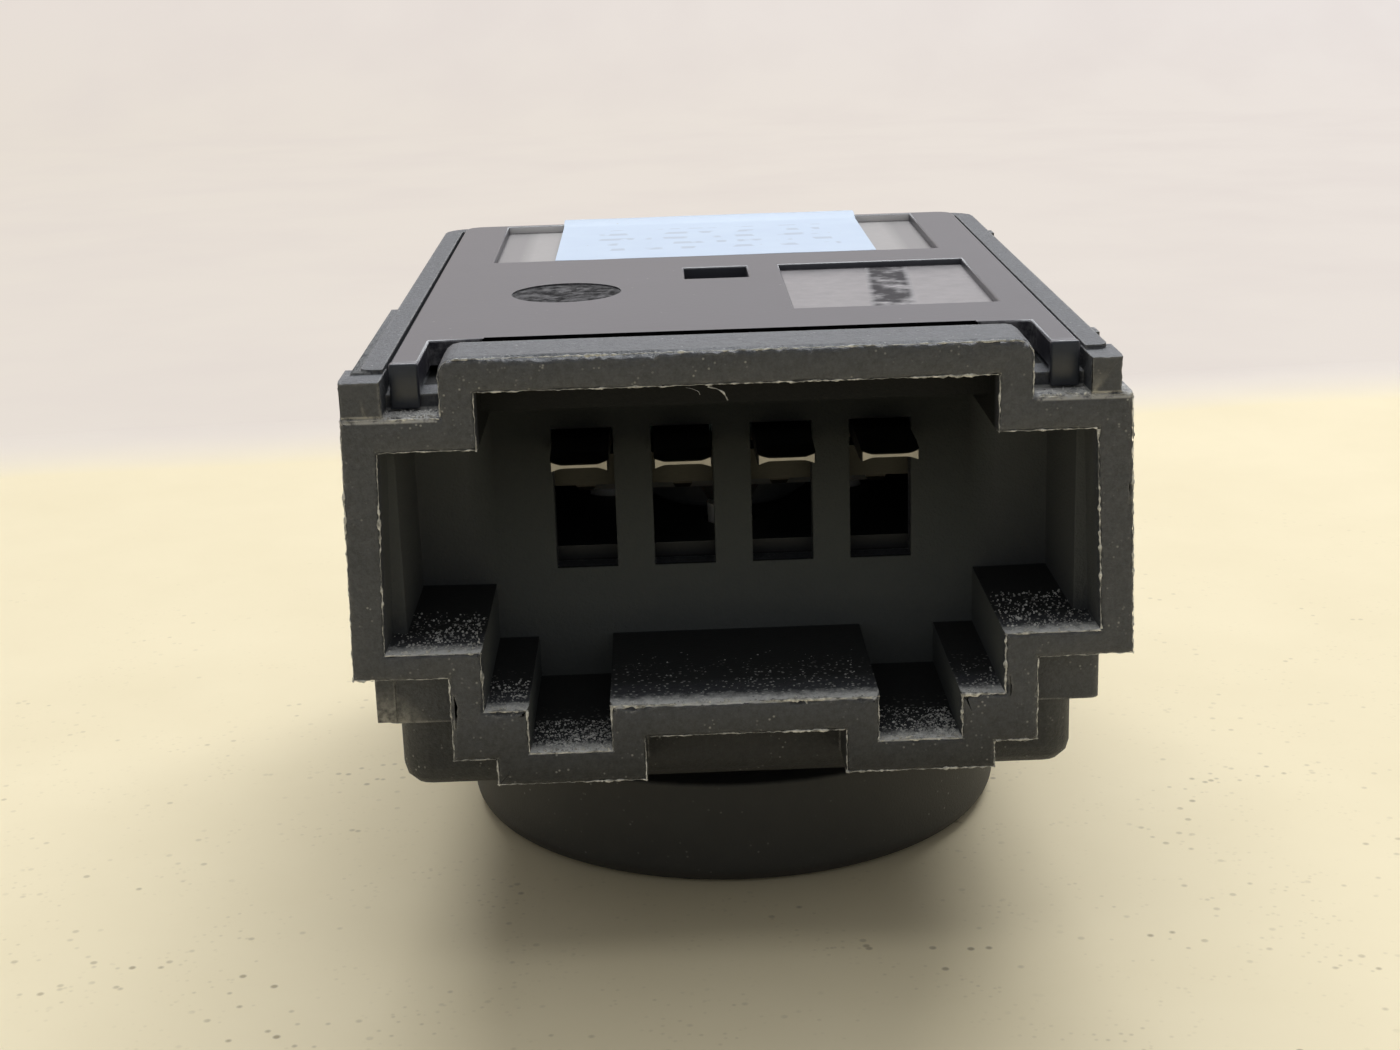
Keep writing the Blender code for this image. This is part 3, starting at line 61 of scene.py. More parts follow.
# The camera: a phone held low in front of the socket, a little to the left of the switch's middle. Its
# place and its turn put the switch's edges where the photograph shows them.
camera_data = bpy.data.cameras.new("camera")
camera_data.sensor_width = 36.0
camera_data.lens = 54.08
camera_data.clip_start = 0.001
camera_data.clip_end = 10.0
camera = bpy.data.objects.new("camera", camera_data)
bpy.context.scene.collection.objects.link(camera)
camera_turn = Matrix(
    (
        (0.99926483, 0.03597353, -0.01325511),
        (-0.02281677, 0.28018994, -0.95967338),
        (-0.03080889, 0.9592703, 0.28080476),
    )
)
camera.matrix_world = Matrix.Translation(Vector((-3.128, -115.252, 49.091)) * MM) @ camera_turn.to_4x4()
bpy.context.scene.camera = camera
bpy.context.scene.view_settings.view_transform = "Standard"


# The table and what lies behind it, far out of focus: a cream stone top with fine dark specks, and a pale
# plastered wall. Table and wall are one sheet, and the colour passes softly from one to the other.
def screen(red, green, blue):
    """A colour as it shows on a screen, from 0 to 255, as a shader's own colour."""
    parts = (c / 255 for c in (red, green, blue))
    return tuple(c / 12.92 if c < 0.04 else ((c + 0.055) / 1.055) ** 2.4 for c in parts) + (1.0,)


class NodeTree:
    """A node tree, with short ways to add and join its nodes."""

    def __init__(self, tree):
        self.tree = tree

    def add(self, kind, sockets=None, **settings):
        made = self.tree.nodes.new(kind)
        for key, value in settings.items():
            setattr(made, key, value)
        for key, value in (sockets or {}).items():
            self.put(made.inputs[key], value)
        return made

    def put(self, socket, value):
        if isinstance(value, bpy.types.NodeSocket):
            self.tree.links.new(value, socket)
        else:
            socket.default_value = value

    def math(self, operation, a, b=0.0, c=0.0):
        return self.add("ShaderNodeMath", {0: a, 1: b, 2: c}, operation=operation).outputs[0]

    def times(self, *values):
        product = values[0]
        for value in values[1:]:
            product = self.math("MULTIPLY", product, value)
        return product

    def vector(self, operation, a, b, output="Vector"):
        return self.add("ShaderNodeVectorMath", {0: a, 1: b}, operation=operation).outputs[output]


class Shading(NodeTree):
    """A node material, with short ways to mix its colours."""

    def __init__(self, name):
        self.material = bpy.data.materials.new(name)
        self.material.use_nodes = True
        super().__init__(self.material.node_tree)
        self.surface = self.tree.nodes["Principled BSDF"]
        self.place = self.add("ShaderNodeTexCoord").outputs["Object"]

    def noise(self, size, detail=4.0, roughness=0.55, stretch=None):
        """Noise whose features are about the given size, in metres, stretched along an axis if asked."""
        place = self.place if stretch is None else self.vector("MULTIPLY", self.place, stretch)
        sockets = {"Vector": place, "Scale": 1.0 / size, "Detail": detail, "Roughness": roughness}
        return self.add("ShaderNodeTexNoise", sockets).outputs["Fac"]

    def patches(self, size, low, high, **settings):
        """Soft patches of noise: 0 where it is below low, 1 where it is above high."""
        return self.between(self.noise(size, **settings), low, high)

    def spots(self, size, inner, outer):
        """Round spots at random places: 1 inside the distance inner, 0 outside the distance outer."""
        cells = self.add("ShaderNodeTexVoronoi", {"Vector": self.place, "Scale": 1.0 / size})
        return self.between(cells.outputs["Distance"], outer, inner)

    def between(self, value, low, high):
        """Brings a value from low..high to 0..1, held at both ends. Low may be the greater."""
        sockets = {"Value": value, "From Min": low, "From Max": high, "To Min": 0.0, "To Max": 1.0}
        return self.add("ShaderNodeMapRange", sockets).outputs["Result"]

    def mix(self, factor, a, b):
        return self.add("ShaderNodeMix", {0: factor, 6: a, 7: b}, data_type="RGBA").outputs[2]

    def layers(self, shade, *layers):
        """Lays colours over a shade, one after another, each where its own mask is 1."""
        for mask, colour in layers:
            shade = self.mix(mask, shade, colour)
        return shade

    def mixed(self, factor, a, b):
        """A plain value between two others."""
        return self.add("ShaderNodeMix", {0: factor, 2: a, 3: b}).outputs[0]

    def part(self, axis, vector=None):
        """One coordinate of the place, in metres, or of another vector."""
        return self.add("ShaderNodeSeparateXYZ", {0: self.place if vector is None else vector}).outputs[axis]

    def inside(self, axis, low, high, soft=0.05 * MM):
        """1 where a coordinate lies between two values, with soft ends."""
        value = self.part(axis)
        above = self.between(value, low - soft, low + soft)
        return self.times(above, self.between(value, high + soft, high - soft))

    def facing(self, axis, low=0.3, high=0.8):
        """1 where the surface faces along an axis, such as 2 for up."""
        normal = self.add("ShaderNodeNewGeometry").outputs["Normal"]
        return self.between(self.part(axis, normal), low, high)

    def soft_normal(self, radius):
        """The surface's direction as if its edges were rounded."""
        return self.add("ShaderNodeBevel", {"Radius": radius}, samples=4).outputs["Normal"]

    def edges(self, radius):
        """1 along the solid's edges, 0 on its flat faces."""
        normal = self.add("ShaderNodeNewGeometry").outputs["True Normal"]
        along = self.vector("DOT_PRODUCT", self.soft_normal(radius), normal, "Value")
        return self.between(self.math("SUBTRACT", 1.0, along), 0.03, 0.25)

    def bump(self, height, depth, below=None):
        sockets = {"Height": height, "Distance": depth}
        if below is not None:
            sockets["Normal"] = below
        return self.add("ShaderNodeBump", sockets).outputs["Normal"]

    def finish(self, **sockets):
        for key, value in sockets.items():
            self.put(self.surface.inputs[key.replace("_", " ")], value)
        return self.material


def shown(name, bm, material):
    """A new object in the scene from a bmesh."""
    mesh = bpy.data.meshes.new(name)
    bm.to_mesh(mesh)
    bm.free()
    made = bpy.data.objects.new(name, mesh)
    bpy.context.scene.collection.objects.link(made)
    mesh.materials.append(material)
    return made


TABLE_END = 84 * MM
WALL_Y = 450 * MM
WALL_CURVE = 60 * MM
WALL_HEIGHT = 380 * MM
SHEET_FRONT = -900 * MM
SHEET_HALF = 1400 * MM
BELOW_KNOB = 0.02 * MM
backdrop_bm = bmesh.new()
profile = [(SHEET_FRONT, 0.0), (WALL_Y - WALL_CURVE, 0.0)]
for step in range(1, 25):
    turn = math.pi / 2 * step / 24
    forward, rise = WALL_CURVE * math.sin(turn), WALL_CURVE - WALL_CURVE * math.cos(turn)
    profile.append((WALL_Y - WALL_CURVE + forward, rise))
profile.append((WALL_Y, WALL_HEIGHT))
sheet_rows = []
for y, z in profile:
    sheet_rows.append([backdrop_bm.verts.new((x, y, z - BELOW_KNOB)) for x in (-SHEET_HALF, SHEET_HALF)])
for near, far in zip(sheet_rows, sheet_rows[1:]):
    backdrop_bm.faces.new((near[0], near[1], far[1], far[0]))
table = Shading("table_and_wall")
near_y = table.between(table.part("Y"), 60 * MM, -40 * MM)
speck = table.times(table.spots(1.1 * MM, 0.1, 0.2), table.patches(9 * MM, 0.5, 0.64, detail=3.0))
fine_speck = table.times(table.spots(0.55 * MM, 0.08, 0.26), table.patches(5 * MM, 0.46, 0.66, detail=3.0))
cloud = table.noise(16 * MM, detail=5.0)
# Painted light: the stone is painted lighter towards the front, where the lamps light it less.
painted_light_towards_front = table.between(table.part("Y"), 20 * MM, -90 * MM)
stone = table.mix(cloud, screen(232, 217, 180), screen(245, 231, 196))
stone = table.mix(painted_light_towards_front, stone, table.mix(cloud, screen(243, 228, 190), screen(254, 240, 205)))
stone = table.mix(table.times(fine_speck, near_y, 0.5), stone, screen(188, 171, 136))
stone = table.mix(table.times(speck, near_y, 0.8), stone, screen(142, 124, 92))
left_right = table.between(table.part("X"), -180 * MM, 180 * MM)
plaster_low = table.mix(left_right, screen(231, 222, 211), screen(236, 228, 222))
plaster_high = table.mix(left_right, screen(233, 224, 222), screen(234, 229, 232))
plaster = table.mix(table.between(table.part("Z"), 0.0, 90 * MM), plaster_low, plaster_high)
stain = table.times(table.patches(34 * MM, 0.42, 0.72, detail=5.0), 0.3)
plaster = table.mix(stain, plaster, screen(221, 211, 207))
wavy = table.math("ADD", table.part("Y"), table.times(table.noise(25 * MM), 4 * MM))
tilted = table.math("ADD", wavy, table.times(table.part("X"), -0.09))
beyond = table.between(tilted, TABLE_END, TABLE_END + 18 * MM)
table.finish(Base_Color=table.mix(beyond, stone, plaster), Roughness=0.75)
ray = table.add("ShaderNodeLightPath").outputs
seen_ray = table.math("MAXIMUM", ray["Is Camera Ray"], ray["Is Glossy Ray"])
seen_ray = table.math("MAXIMUM", seen_ray, ray["Is Transmission Ray"])
glow = table.add("ShaderNodeEmission", {"Color": plaster, "Strength": 1.0}).outputs[0]
sockets = {0: table.times(beyond, seen_ray), 1: table.surface.outputs[0], 2: glow}
shown_wall = table.add("ShaderNodeMixShader", sockets).outputs[0]
table.put(table.tree.nodes["Material Output"].inputs["Surface"], shown_wall)
backdrop = shown("backdrop", backdrop_bm, table.material)


# The light: a broad window high behind the switch, the pale wall under it, and the room's own soft light.
def soft_lamp(name, place, size, power):
    """A rectangular lamp that looks at the switch."""
    light = bpy.data.lights.new(name, "AREA")
    light.shape = "RECTANGLE"
    light.size, light.size_y = size
    light.energy = power
    light.color = (0.95, 0.975, 1.0)
    made = bpy.data.objects.new(name, light)
    bpy.context.scene.collection.objects.link(made)
    made.location = Vector(place)
    made.rotation_euler = (-made.location).to_track_quat("-Z", "Y").to_euler()


soft_lamp("window", (0.1, 0.55, 0.62), (0.9, 0.3), 7.3)
soft_lamp("ceiling", (0.0, 0.1, 0.9), (0.8, 0.8), 2.1)
room = bpy.data.worlds.new("room")
bpy.context.scene.world = room
room.use_nodes = True
room_light = NodeTree(room.node_tree)
path = room_light.add("ShaderNodeLightPath").outputs
seen = room_light.math("MAXIMUM", path["Is Camera Ray"], path["Is Transmission Ray"])
pale = room_light.add("ShaderNodeBackground", {"Color": screen(233, 226, 222)}).outputs[0]
plain = room_light.add("ShaderNodeBackground", {"Color": (0.96, 0.98, 1.0, 1.0), "Strength": 0.3}).outputs[0]
chosen = room_light.add("ShaderNodeMixShader", {0: seen, 1: plain, 2: pale}).outputs[0]
room_light.put(room.node_tree.nodes["World Output"].inputs["Surface"], chosen)


# The housing: box, bezel skirt and connector shroud in one black moulding with a fine spark-eroded grain.
# Its lip comes ragged out of a worn mould, with edges scuffed pale, and dust lies on what faces up.
# Shade in the socket, behind the crown, under the tongue and low on the lip is painted into its colour,
# and the dust at the socket's mouth is painted near white, partly as a painted highlight.
def solid_copy(node):
    """A node's own solid, with its loose triangles merged and its flat faces made whole."""
    bm = bmesh.new()
    bm.from_mesh(nodes[node].data)
    bmesh.ops.remove_doubles(bm, verts=bm.verts, dist=0.002 * MM)
    bmesh.ops.dissolve_limit(bm, angle_limit=math.radians(1), verts=bm.verts, edges=bm.edges)
    bmesh.ops.recalc_face_normals(bm, faces=bm.faces)
    return bm


def round_edges(bm, width, where, steps=2):
    """Rounds the outward edges that pass a test, which gets an edge's two ends."""
    picked = [
        edge
        for edge in bm.edges
        if len(edge.link_faces) == 2
        and edge.is_convex
        and edge.calc_face_angle() > math.radians(35)
        and where(edge.verts[0].co, edge.verts[1].co)
    ]
    bmesh.ops.bevel(
        bm, geom=picked, offset=width, segments=steps, profile=0.5, affect="EDGES", clamp_overlap=False
    )


def cut_evenly(bm, faces, axis, spacing):
    """Cuts faces that are long along an axis into even short lengths."""
    direction = Vector((0.0, 0.0, 0.0))
    direction[axis] = 1.0

    def reach(face):
        along = [v.co[axis] for v in face.verts]
        return min(along), max(along)

    waiting = {face: reach(face) for face in faces}
    waiting = {face: ends for face, ends in waiting.items() if ends[1] - ends[0] > 2 * spacing}
    place = min(low for low, high in waiting.values())
    end = max(high for low, high in waiting.values())
    while place < end:
        waiting = {face: ends for face, ends in waiting.items() if ends[1] > place}
        crossed = [face for face, (low, high) in waiting.items() if low < place < high]
        if crossed:
            edges = {edge for face in crossed for edge in face.edges}
            verts = {vert for face in crossed for vert in face.verts}
            cut = bmesh.ops.bisect_plane(
                bm,
                geom=[*crossed, *edges, *verts],
                dist=0.0005 * MM,
                plane_co=direction * place,
                plane_no=direction,
            )
            for made in cut["geom"]:
                if isinstance(made, bmesh.types.BMFace):
                    waiting[made] = reach(made)
        place += spacing


def smooth_by_angle(obj, degrees=32, flat_area=25 * MM * MM):
    """Smooth shading up to an angle, but flat up to their borders on the large flat faces."""
    obj.data.shade_smooth()
    obj.data.set_sharp_from_angle(angle=math.radians(degrees))
    made = bmesh.new()
    made.from_mesh(obj.data)
    for face in made.faces:
        if face.calc_area() > flat_area:
            for edge in face.edges:
                if edge.calc_face_angle(0.0) > math.radians(1):
                    edge.smooth = False
    made.to_mesh(obj.data)
    made.free()


CAD_LOW, CAD_HIGH = (Vector(corner) for corner in cad_box)
FRONT_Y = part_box("housing")[0].y
COVER_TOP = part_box("rear_cover")[1].z
RIM_Z = COVER_TOP - 0.3 * MM
PIN_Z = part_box("terminal_1")[1].z - 0.4 * MM
CROWN_TOP = PIN_Z + 6.6 * MM
WING_TOP = PIN_Z + 3.95 * MM
WING_FLOOR_Z = PIN_Z - 7.28 * MM
TONGUE_TOP = PIN_Z - 10.25 * MM
SLOT_FLOOR_Z = PIN_Z - 12.42 * MM
LIP_EDGE = 0.18 * MM
LIP_BAND = 0.5 * MM
RAGGED_STEP = 0.11 * MM


def inside_cad(place):
    """A place held within the CAD model's box."""
    return Vector(min(max(place[i], CAD_LOW[i]), CAD_HIGH[i]) for i in range(3))


def on_lip(a, b):
    """An edge between two points of the lip's front face."""
    return abs(a.y - FRONT_Y) < 0.02 * MM and abs(b.y - FRONT_Y) < 0.02 * MM


def raggedness(place):
    """How far the lip's edge is eaten away at a place: most on the crown and on the tongue."""
    fine = noise.fractal(place / (0.35 * MM), 0.8, 2.0, 3)
    broad = noise.noise(place / (1.6 * MM))
    depth = 0.045 + 0.05 * fine + 0.03 * broad
    if place.z > CROWN_TOP - 0.3 * MM:
        depth += 0.05 + 0.1 * max(noise.noise(place / (0.9 * MM)), 0.0) + 0.05 * fine
        depth += 0.1 * (abs(place.x + 7.0 * MM) < 3.4 * MM)
    if abs(place.z - TONGUE_TOP) < 0.4 * MM:
        depth += 0.06 + 0.16 * noise.noise(place / (0.8 * MM)) + 0.05 * fine
    return max(depth, 0.0) * MM


housing_bm = solid_copy("housing")
lip_edges = []
for edge in housing_bm.edges:
    a, b = (vert.co.copy() for vert in edge.verts)
    if on_lip(a, b) and edge.is_convex and edge.calc_face_angle() > math.radians(35):
        lip_edges.append((a, b, -sum((face.normal for face in edge.link_faces), Vector()).normalized()))
round_edges(housing_bm, LIP_EDGE, on_lip, steps=3)
everything = [*housing_bm.verts, *housing_bm.edges, *housing_bm.faces]
band_end = Vector((0.0, FRONT_Y + LIP_BAND, 0.0))
bmesh.ops.bisect_plane(housing_bm, geom=everything, dist=0.0005 * MM, plane_co=band_end, plane_no=(0, 1, 0))


def in_band(face):
    return all(vert.co.y < FRONT_Y + LIP_BAND + 0.01 * MM for vert in face.verts)


for axis in (0, 2):
    lip_front = [face for face in housing_bm.faces if in_band(face) and face.normal.y < -0.995]
    cut_evenly(housing_bm, lip_front, axis, 0.9 * MM)
for axis in (0, 2):
    strips = [face for face in housing_bm.faces if in_band(face) and face.normal.y > -0.995]
    cut_evenly(housing_bm, strips, axis, RAGGED_STEP)
housing_bm.normal_update()
eaten = {}
for vert in housing_bm.verts:
    fade = 1.0 - max(vert.co.y - FRONT_Y - LIP_EDGE, 0.0) / (LIP_BAND - LIP_EDGE)
    across = Vector((0.0, 0.0, 0.0))
    for face in vert.link_faces:
        if in_band(face) and face.normal.y > -0.995:
            across += Vector((face.normal.x, 0.0, face.normal.z))
    if fade > 0.01 and across.length > 0.1:
        eaten[vert] = vert.co - across.normalized() * raggedness(vert.co) * fade
for vert, place in eaten.items():
    vert.co = inside_cad(place)


SOCKET_DEPTH = 10.65 * MM
SOCKET_WALL = 1.65 * MM
WING_ROOM = 16.75 * MM
CROWN_ROOM = 11.8 * MM
LOWER_ROOM = 12.2 * MM
SLOTS_OUTER = 10.18 * MM
SLOTS_INNER = 5.9 * MM
NOTCH_DEPTH = 3.7 * MM
NOTCH_END = 7.45 * MM


def black_moulding(name):
    """Black plastic with a spark-eroded grain, chalky edges and dust on what faces up, with painted shade in
    and below the socket and a painted highlight at its mouth.
    """
    made = Shading(name)
    height = made.part("Z")
    sideways = made.math("ABSOLUTE", made.part("X"))
    depth = made.math("SUBTRACT", made.part("Y"), FRONT_Y)
    grain = made.noise(0.16 * MM, detail=3.0, roughness=0.7)
    pits = made.noise(0.6 * MM, detail=5.0, roughness=0.7)
    ragged = made.noise(0.45 * MM, detail=5.0, roughness=0.65)
    coarse = made.patches(0.24 * MM, 0.36, 0.64, detail=6.0, roughness=0.8)
    up = made.facing("Z", 0.35, 0.8)
    front = made.facing("Y", -0.4, -0.9)

    def chamber(half, low, high):
        """1 within one of the socket's rooms, its walls among them."""
        margin = 0.12 * MM
        return made.times(
            made.inside("X", -half - margin, half + margin, 0.01 * MM),
            made.inside("Z", low - margin, high + margin, 0.01 * MM),
        )

    wings = chamber(WING_ROOM, WING_FLOOR_Z, WING_TOP - SOCKET_WALL)
    crown = chamber(CROWN_ROOM, WING_FLOOR_Z, CROWN_TOP - SOCKET_WALL)
    lower = chamber(LOWER_ROOM, TONGUE_TOP, WING_FLOOR_Z)
    beside_tongue = made.math("SUBTRACT", 1.0, chamber(SLOTS_INNER, 0.0, 1.0))
    slots = made.times(chamber(SLOTS_OUTER, SLOT_FLOOR_Z, TONGUE_TOP), beside_tongue)
    socket = made.math("MAXIMUM", made.math("MAXIMUM", wings, crown), made.math("MAXIMUM", lower, slots))
    socket = made.times(socket, made.between(depth, SOCKET_DEPTH + 0.05 * MM, SOCKET_DEPTH - 0.05 * MM))
    # Painted shade: deeper in, the socket's walls and floors are painted near black and made dull, for the
    # shade inside it.
    deep = made.between(depth, 0.15 * MM, 1.3 * MM)
    deep_floor = made.between(depth, 1.2 * MM, 3.2 * MM)
    dark = made.times(socket, made.mixed(up, deep, deep_floor))
    # Painted shade: the notch behind the crown is painted black and dull.
    painted_shade_behind_crown = made.times(
        made.inside("X", -14.45 * MM, 14.45 * MM),
        made.between(depth, NOTCH_DEPTH - 0.05 * MM, NOTCH_DEPTH + 0.1 * MM),
        made.between(height, WING_TOP + 0.1 * MM, WING_TOP + 0.3 * MM),
        made.between(depth, NOTCH_END + 0.05 * MM, NOTCH_END - 0.05 * MM),
    )
    # Painted shade: the recessed wall under the tongue is painted darker.
    painted_shade_under_tongue = made.times(
        made.inside("X", -11.8 * MM, 11.8 * MM),
        made.between(height, SLOT_FLOOR_Z + 0.6 * MM, SLOT_FLOOR_Z),
        made.between(depth, 1.6 * MM, 1.75 * MM),
        front,
    )
    wing_top = made.times(
        made.math("MAXIMUM", up, made.inside("Z", WING_TOP - 0.22 * MM, WING_TOP + 0.1 * MM, 0.04 * MM)),
        made.between(sideways, 13.5 * MM, 13.7 * MM),
        made.inside("Z", WING_TOP - 0.3 * MM, WING_TOP + 0.2 * MM),
        made.between(depth, 2.0 * MM, 1.9 * MM),
        made.between(ragged, 0.34, 0.5),
    )
    # Painted shade: the lip is painted darker low down, where the table below it lies in shadow.
    painted_shade_low = made.between(height, 13.0 * MM, 10.0 * MM)
    rim_face = made.inside("Z", RIM_Z - 0.15 * MM, RIM_Z + 0.05 * MM)
    on_rim = made.times(rim_face, made.between(depth, 1.7 * MM, 1.9 * MM))
    film = made.times(up, made.patches(0.5 * MM, 0.34, 0.85, detail=6.0), made.mixed(on_rim, 0.4, 0.1))
    chalk = made.times(made.edges(0.2 * MM), made.between(ragged, 0.34, 0.58))
    specks = made.times(made.spots(0.3 * MM, 0.1, 0.24), made.patches(1.3 * MM, 0.5, 0.66))
    # Dust and painted highlight: the floors at the socket's mouth are painted near white, fading deeper in.
    uneven = made.times(made.noise(0.5 * MM, detail=6.0, roughness=0.75), 2.4 * MM)
    dust_and_painted_highlight = made.times(up, socket, made.between(made.math("ADD", depth, uneven), 2.5 * MM, 1.5 * MM))
    crumbs = made.times(
        up,
        socket,
        made.spots(0.3 * MM, 0.14, 0.3),
        made.between(depth, 6.0 * MM, 1.4 * MM),
        made.between(ragged, 0.4, 0.5),
    )
    # The painted shade's colours: lighter low down and at the sides, darkest near the socket's top.
    inner = made.layers(
        made.mix(made.between(height, 24.0 * MM, 15.0 * MM), screen(48, 50, 49), screen(92, 95, 94)),
        (made.between(height, 25.6 * MM, 26.0 * MM), screen(34, 35, 35)),
        (made.between(sideways, 12.0 * MM, 13.4 * MM), screen(84, 86, 86)),
        (up, screen(56, 57, 57)),
    )
    shade = made.layers(
        made.mix(coarse, screen(44, 46, 51), screen(82, 85, 91)),
        (made.times(pits, 0.4), screen(48, 50, 54)),
        (made.times(made.noise(2.5 * MM), front, 0.5), screen(88, 89, 92)),
        (film, screen(112, 112, 114)),
        (painted_shade_low, made.mix(coarse, screen(30, 32, 34), screen(52, 54, 57))),
        (painted_shade_under_tongue, made.mix(coarse, screen(26, 27, 29), screen(44, 45, 47))),
        (made.times(chalk, 0.85), screen(170, 169, 166)),
        (made.times(specks, 0.7), screen(172, 171, 167)),
        (made.times(wing_top, 0.9), screen(186, 184, 180)),
        (dark, inner),
        (painted_shade_behind_crown, screen(6, 6, 6)),
        (made.times(dust_and_painted_highlight, 0.9), screen(240, 239, 235)),
        (made.times(crumbs, 0.85), screen(236, 234, 228)),
    )
    relief = made.math("ADD", grain, made.times(pits, 0.8))
    return made.finish(
        Base_Color=shade,
        Roughness=made.mixed(dark, 0.55, 0.8),
        Specular_IOR_Level=made.mixed(made.math("MAXIMUM", dark, painted_shade_behind_crown), 0.5, 0.1),
        Normal=made.bump(relief, 0.07 * MM, made.soft_normal(0.13 * MM)),
    )


housing = shown("housing_moulding", housing_bm, black_moulding("black_moulding"))
smooth_by_angle(housing)
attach(housing, "case")
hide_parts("housing")


# Flash: the ragged bead of black plastic, scuffed pale, that the worn mould leaves along the edges of the
# lip, thick in some places and gone in others. It follows the lip's own edges.
class Steps(NodeTree):
    """A Geometry Nodes tree with named sizes, built one step after another."""

    def __init__(self, name):
        super().__init__(bpy.data.node_groups.new(name, "GeometryNodeTree"))
        for way in ("INPUT", "OUTPUT"):
            self.tree.interface.new_socket(name="Geometry", in_out=way, socket_type="NodeSocketGeometry")
        self.given = self.tree.nodes.new("NodeGroupInput")
        self.sizes = {}

    def size(self, name, value):
        """Adds a named size, in metres or as a plain number, and gives its socket."""
        socket = self.tree.interface.new_socket(name=name, in_out="INPUT", socket_type="NodeSocketFloat")
        self.sizes[socket.identifier] = value
        return self.given.outputs[name]

    def noise(self, size):
        place = self.add("GeometryNodeInputPosition").outputs[0]
        sockets = {"Vector": place, "Scale": self.math("DIVIDE", 1.0, size), "Detail": 3.0, "Roughness": 0.6}
        return self.add("ShaderNodeTexNoise", sockets).outputs["Fac"]

    def make(self, name, geometry, source, material):
        """Ends the tree, runs it on a source mesh and gives the result as a plain object."""
        real = self.add("GeometryNodeRealizeInstances", {"Geometry": geometry}).outputs[0]
        coloured = self.add("GeometryNodeSetMaterial", {"Geometry": real, "Material": material}).outputs[0]
        leave = self.tree.nodes.new("NodeGroupOutput")
        self.tree.links.new(coloured, leave.inputs[0])
        shape = bpy.data.objects.new(name, source)
        bpy.context.scene.collection.objects.link(shape)
        modifier = shape.modifiers.new(name, "NODES")
        modifier.node_group = self.tree
        for identifier, value in self.sizes.items():
            modifier[identifier] = value
        bpy.context.view_layer.update()
        mesh = bpy.data.meshes.new_from_object(shape.evaluated_get(bpy.context.evaluated_depsgraph_get()))
        bpy.data.objects.remove(shape)
        bpy.data.meshes.remove(source)
        mesh.name = name
        for vert in mesh.vertices:
            vert.co = inside_cad(vert.co)
        made = bpy.data.objects.new(name, mesh)
        bpy.context.scene.collection.objects.link(made)
        return made


def paths_mesh(name, paths):
    """A mesh of bare edges, one chain for each list of points."""
    mesh = bpy.data.meshes.new(name)
    points = [point for path in paths for point in path]
    edges = []
    start = 0
    for path in paths:
        edges += [(start + i, start + i + 1) for i in range(len(path) - 1)]
        start += len(path)
    mesh.from_pydata(points, edges, [])
    return mesh


flash_plastic = Shading("flash_plastic")
flash_shade = flash_plastic.mix(
    flash_plastic.patches(0.3 * MM, 0.35, 0.65, detail=4.0),
    screen(120, 120, 118),
    screen(232, 231, 226),
)
flash_material = flash_plastic.finish(
    Base_Color=flash_shade,
    Roughness=0.6,
    Normal=flash_plastic.bump(flash_plastic.noise(0.1 * MM), 0.03 * MM),
)


def bead(name, paths, thickness, waviness, seed):
    """A bead of uneven thickness along paths."""
    steps = Steps(name)
    step = steps.size("Step", 0.07 * MM)
    thick = steps.size("Thickness", thickness)
    wave = steps.size("Waviness", waviness)
    fine = steps.size("Grain", 0.33 * MM)
    broad = steps.size("Patches", 1.7 * MM)
    shift = steps.size("Seed", seed * 1.0)
    lines = steps.add("GeometryNodeMeshToCurve", {"Mesh": steps.given.outputs["Geometry"]}).outputs[0]
    sockets = {"Curve": lines, "Length": step}
    lines = steps.add("GeometryNodeResampleCurve", sockets, mode="LENGTH").outputs[0]
    place = steps.add("GeometryNodeInputPosition").outputs[0]
    away = steps.add("ShaderNodeCombineXYZ", {0: shift, 1: shift, 2: shift}).outputs[0]
    moved = steps.vector("ADD", place, away)
    sockets = {"Vector": moved, "Scale": steps.math("DIVIDE", 1.0, fine), "Detail": 3.0}
    wander = steps.add("ShaderNodeTexNoise", sockets).outputs["Color"]
    centred = steps.vector("SUBTRACT", wander, (0.5, 0.5, 0.5))
    offset = steps.add("ShaderNodeVectorMath", {0: centred, "Scale": wave}, operation="SCALE").outputs[0]
    lines = steps.add("GeometryNodeSetPosition", {"Geometry": lines, "Offset": offset}).outputs[0]
    grain = steps.math("SUBTRACT", steps.noise(fine), 0.36)
    lumps = steps.times(steps.math("SUBTRACT", steps.noise(broad), 0.36), 4.0)
    fat = steps.math("MAXIMUM", steps.math("MINIMUM", steps.times(grain, lumps, 4.0), 1.6), 0.1)
    ring = steps.add("GeometryNodeCurvePrimitiveCircle", {"Resolution": 6, "Radius": thick}).outputs[0]
    lines = steps.add("GeometryNodeSetCurveRadius", {"Curve": lines, "Radius": fat}).outputs[0]
    sockets = {"Curve": lines, "Profile Curve": ring, "Scale": fat, "Fill Caps": True}
    tube = steps.add("GeometryNodeCurveToMesh", sockets).outputs[0]
    return steps.make(name, tube, paths_mesh(name, paths), flash_material)


FLASH_THICK = 0.085 * MM
lip_paths = [[a + inward * FLASH_THICK, b + inward * FLASH_THICK] for a, b, inward in lip_edges]
lip_flash = bead("lip_flash", lip_paths, FLASH_THICK, 0.15 * MM, 3)
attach(lip_flash, "case")


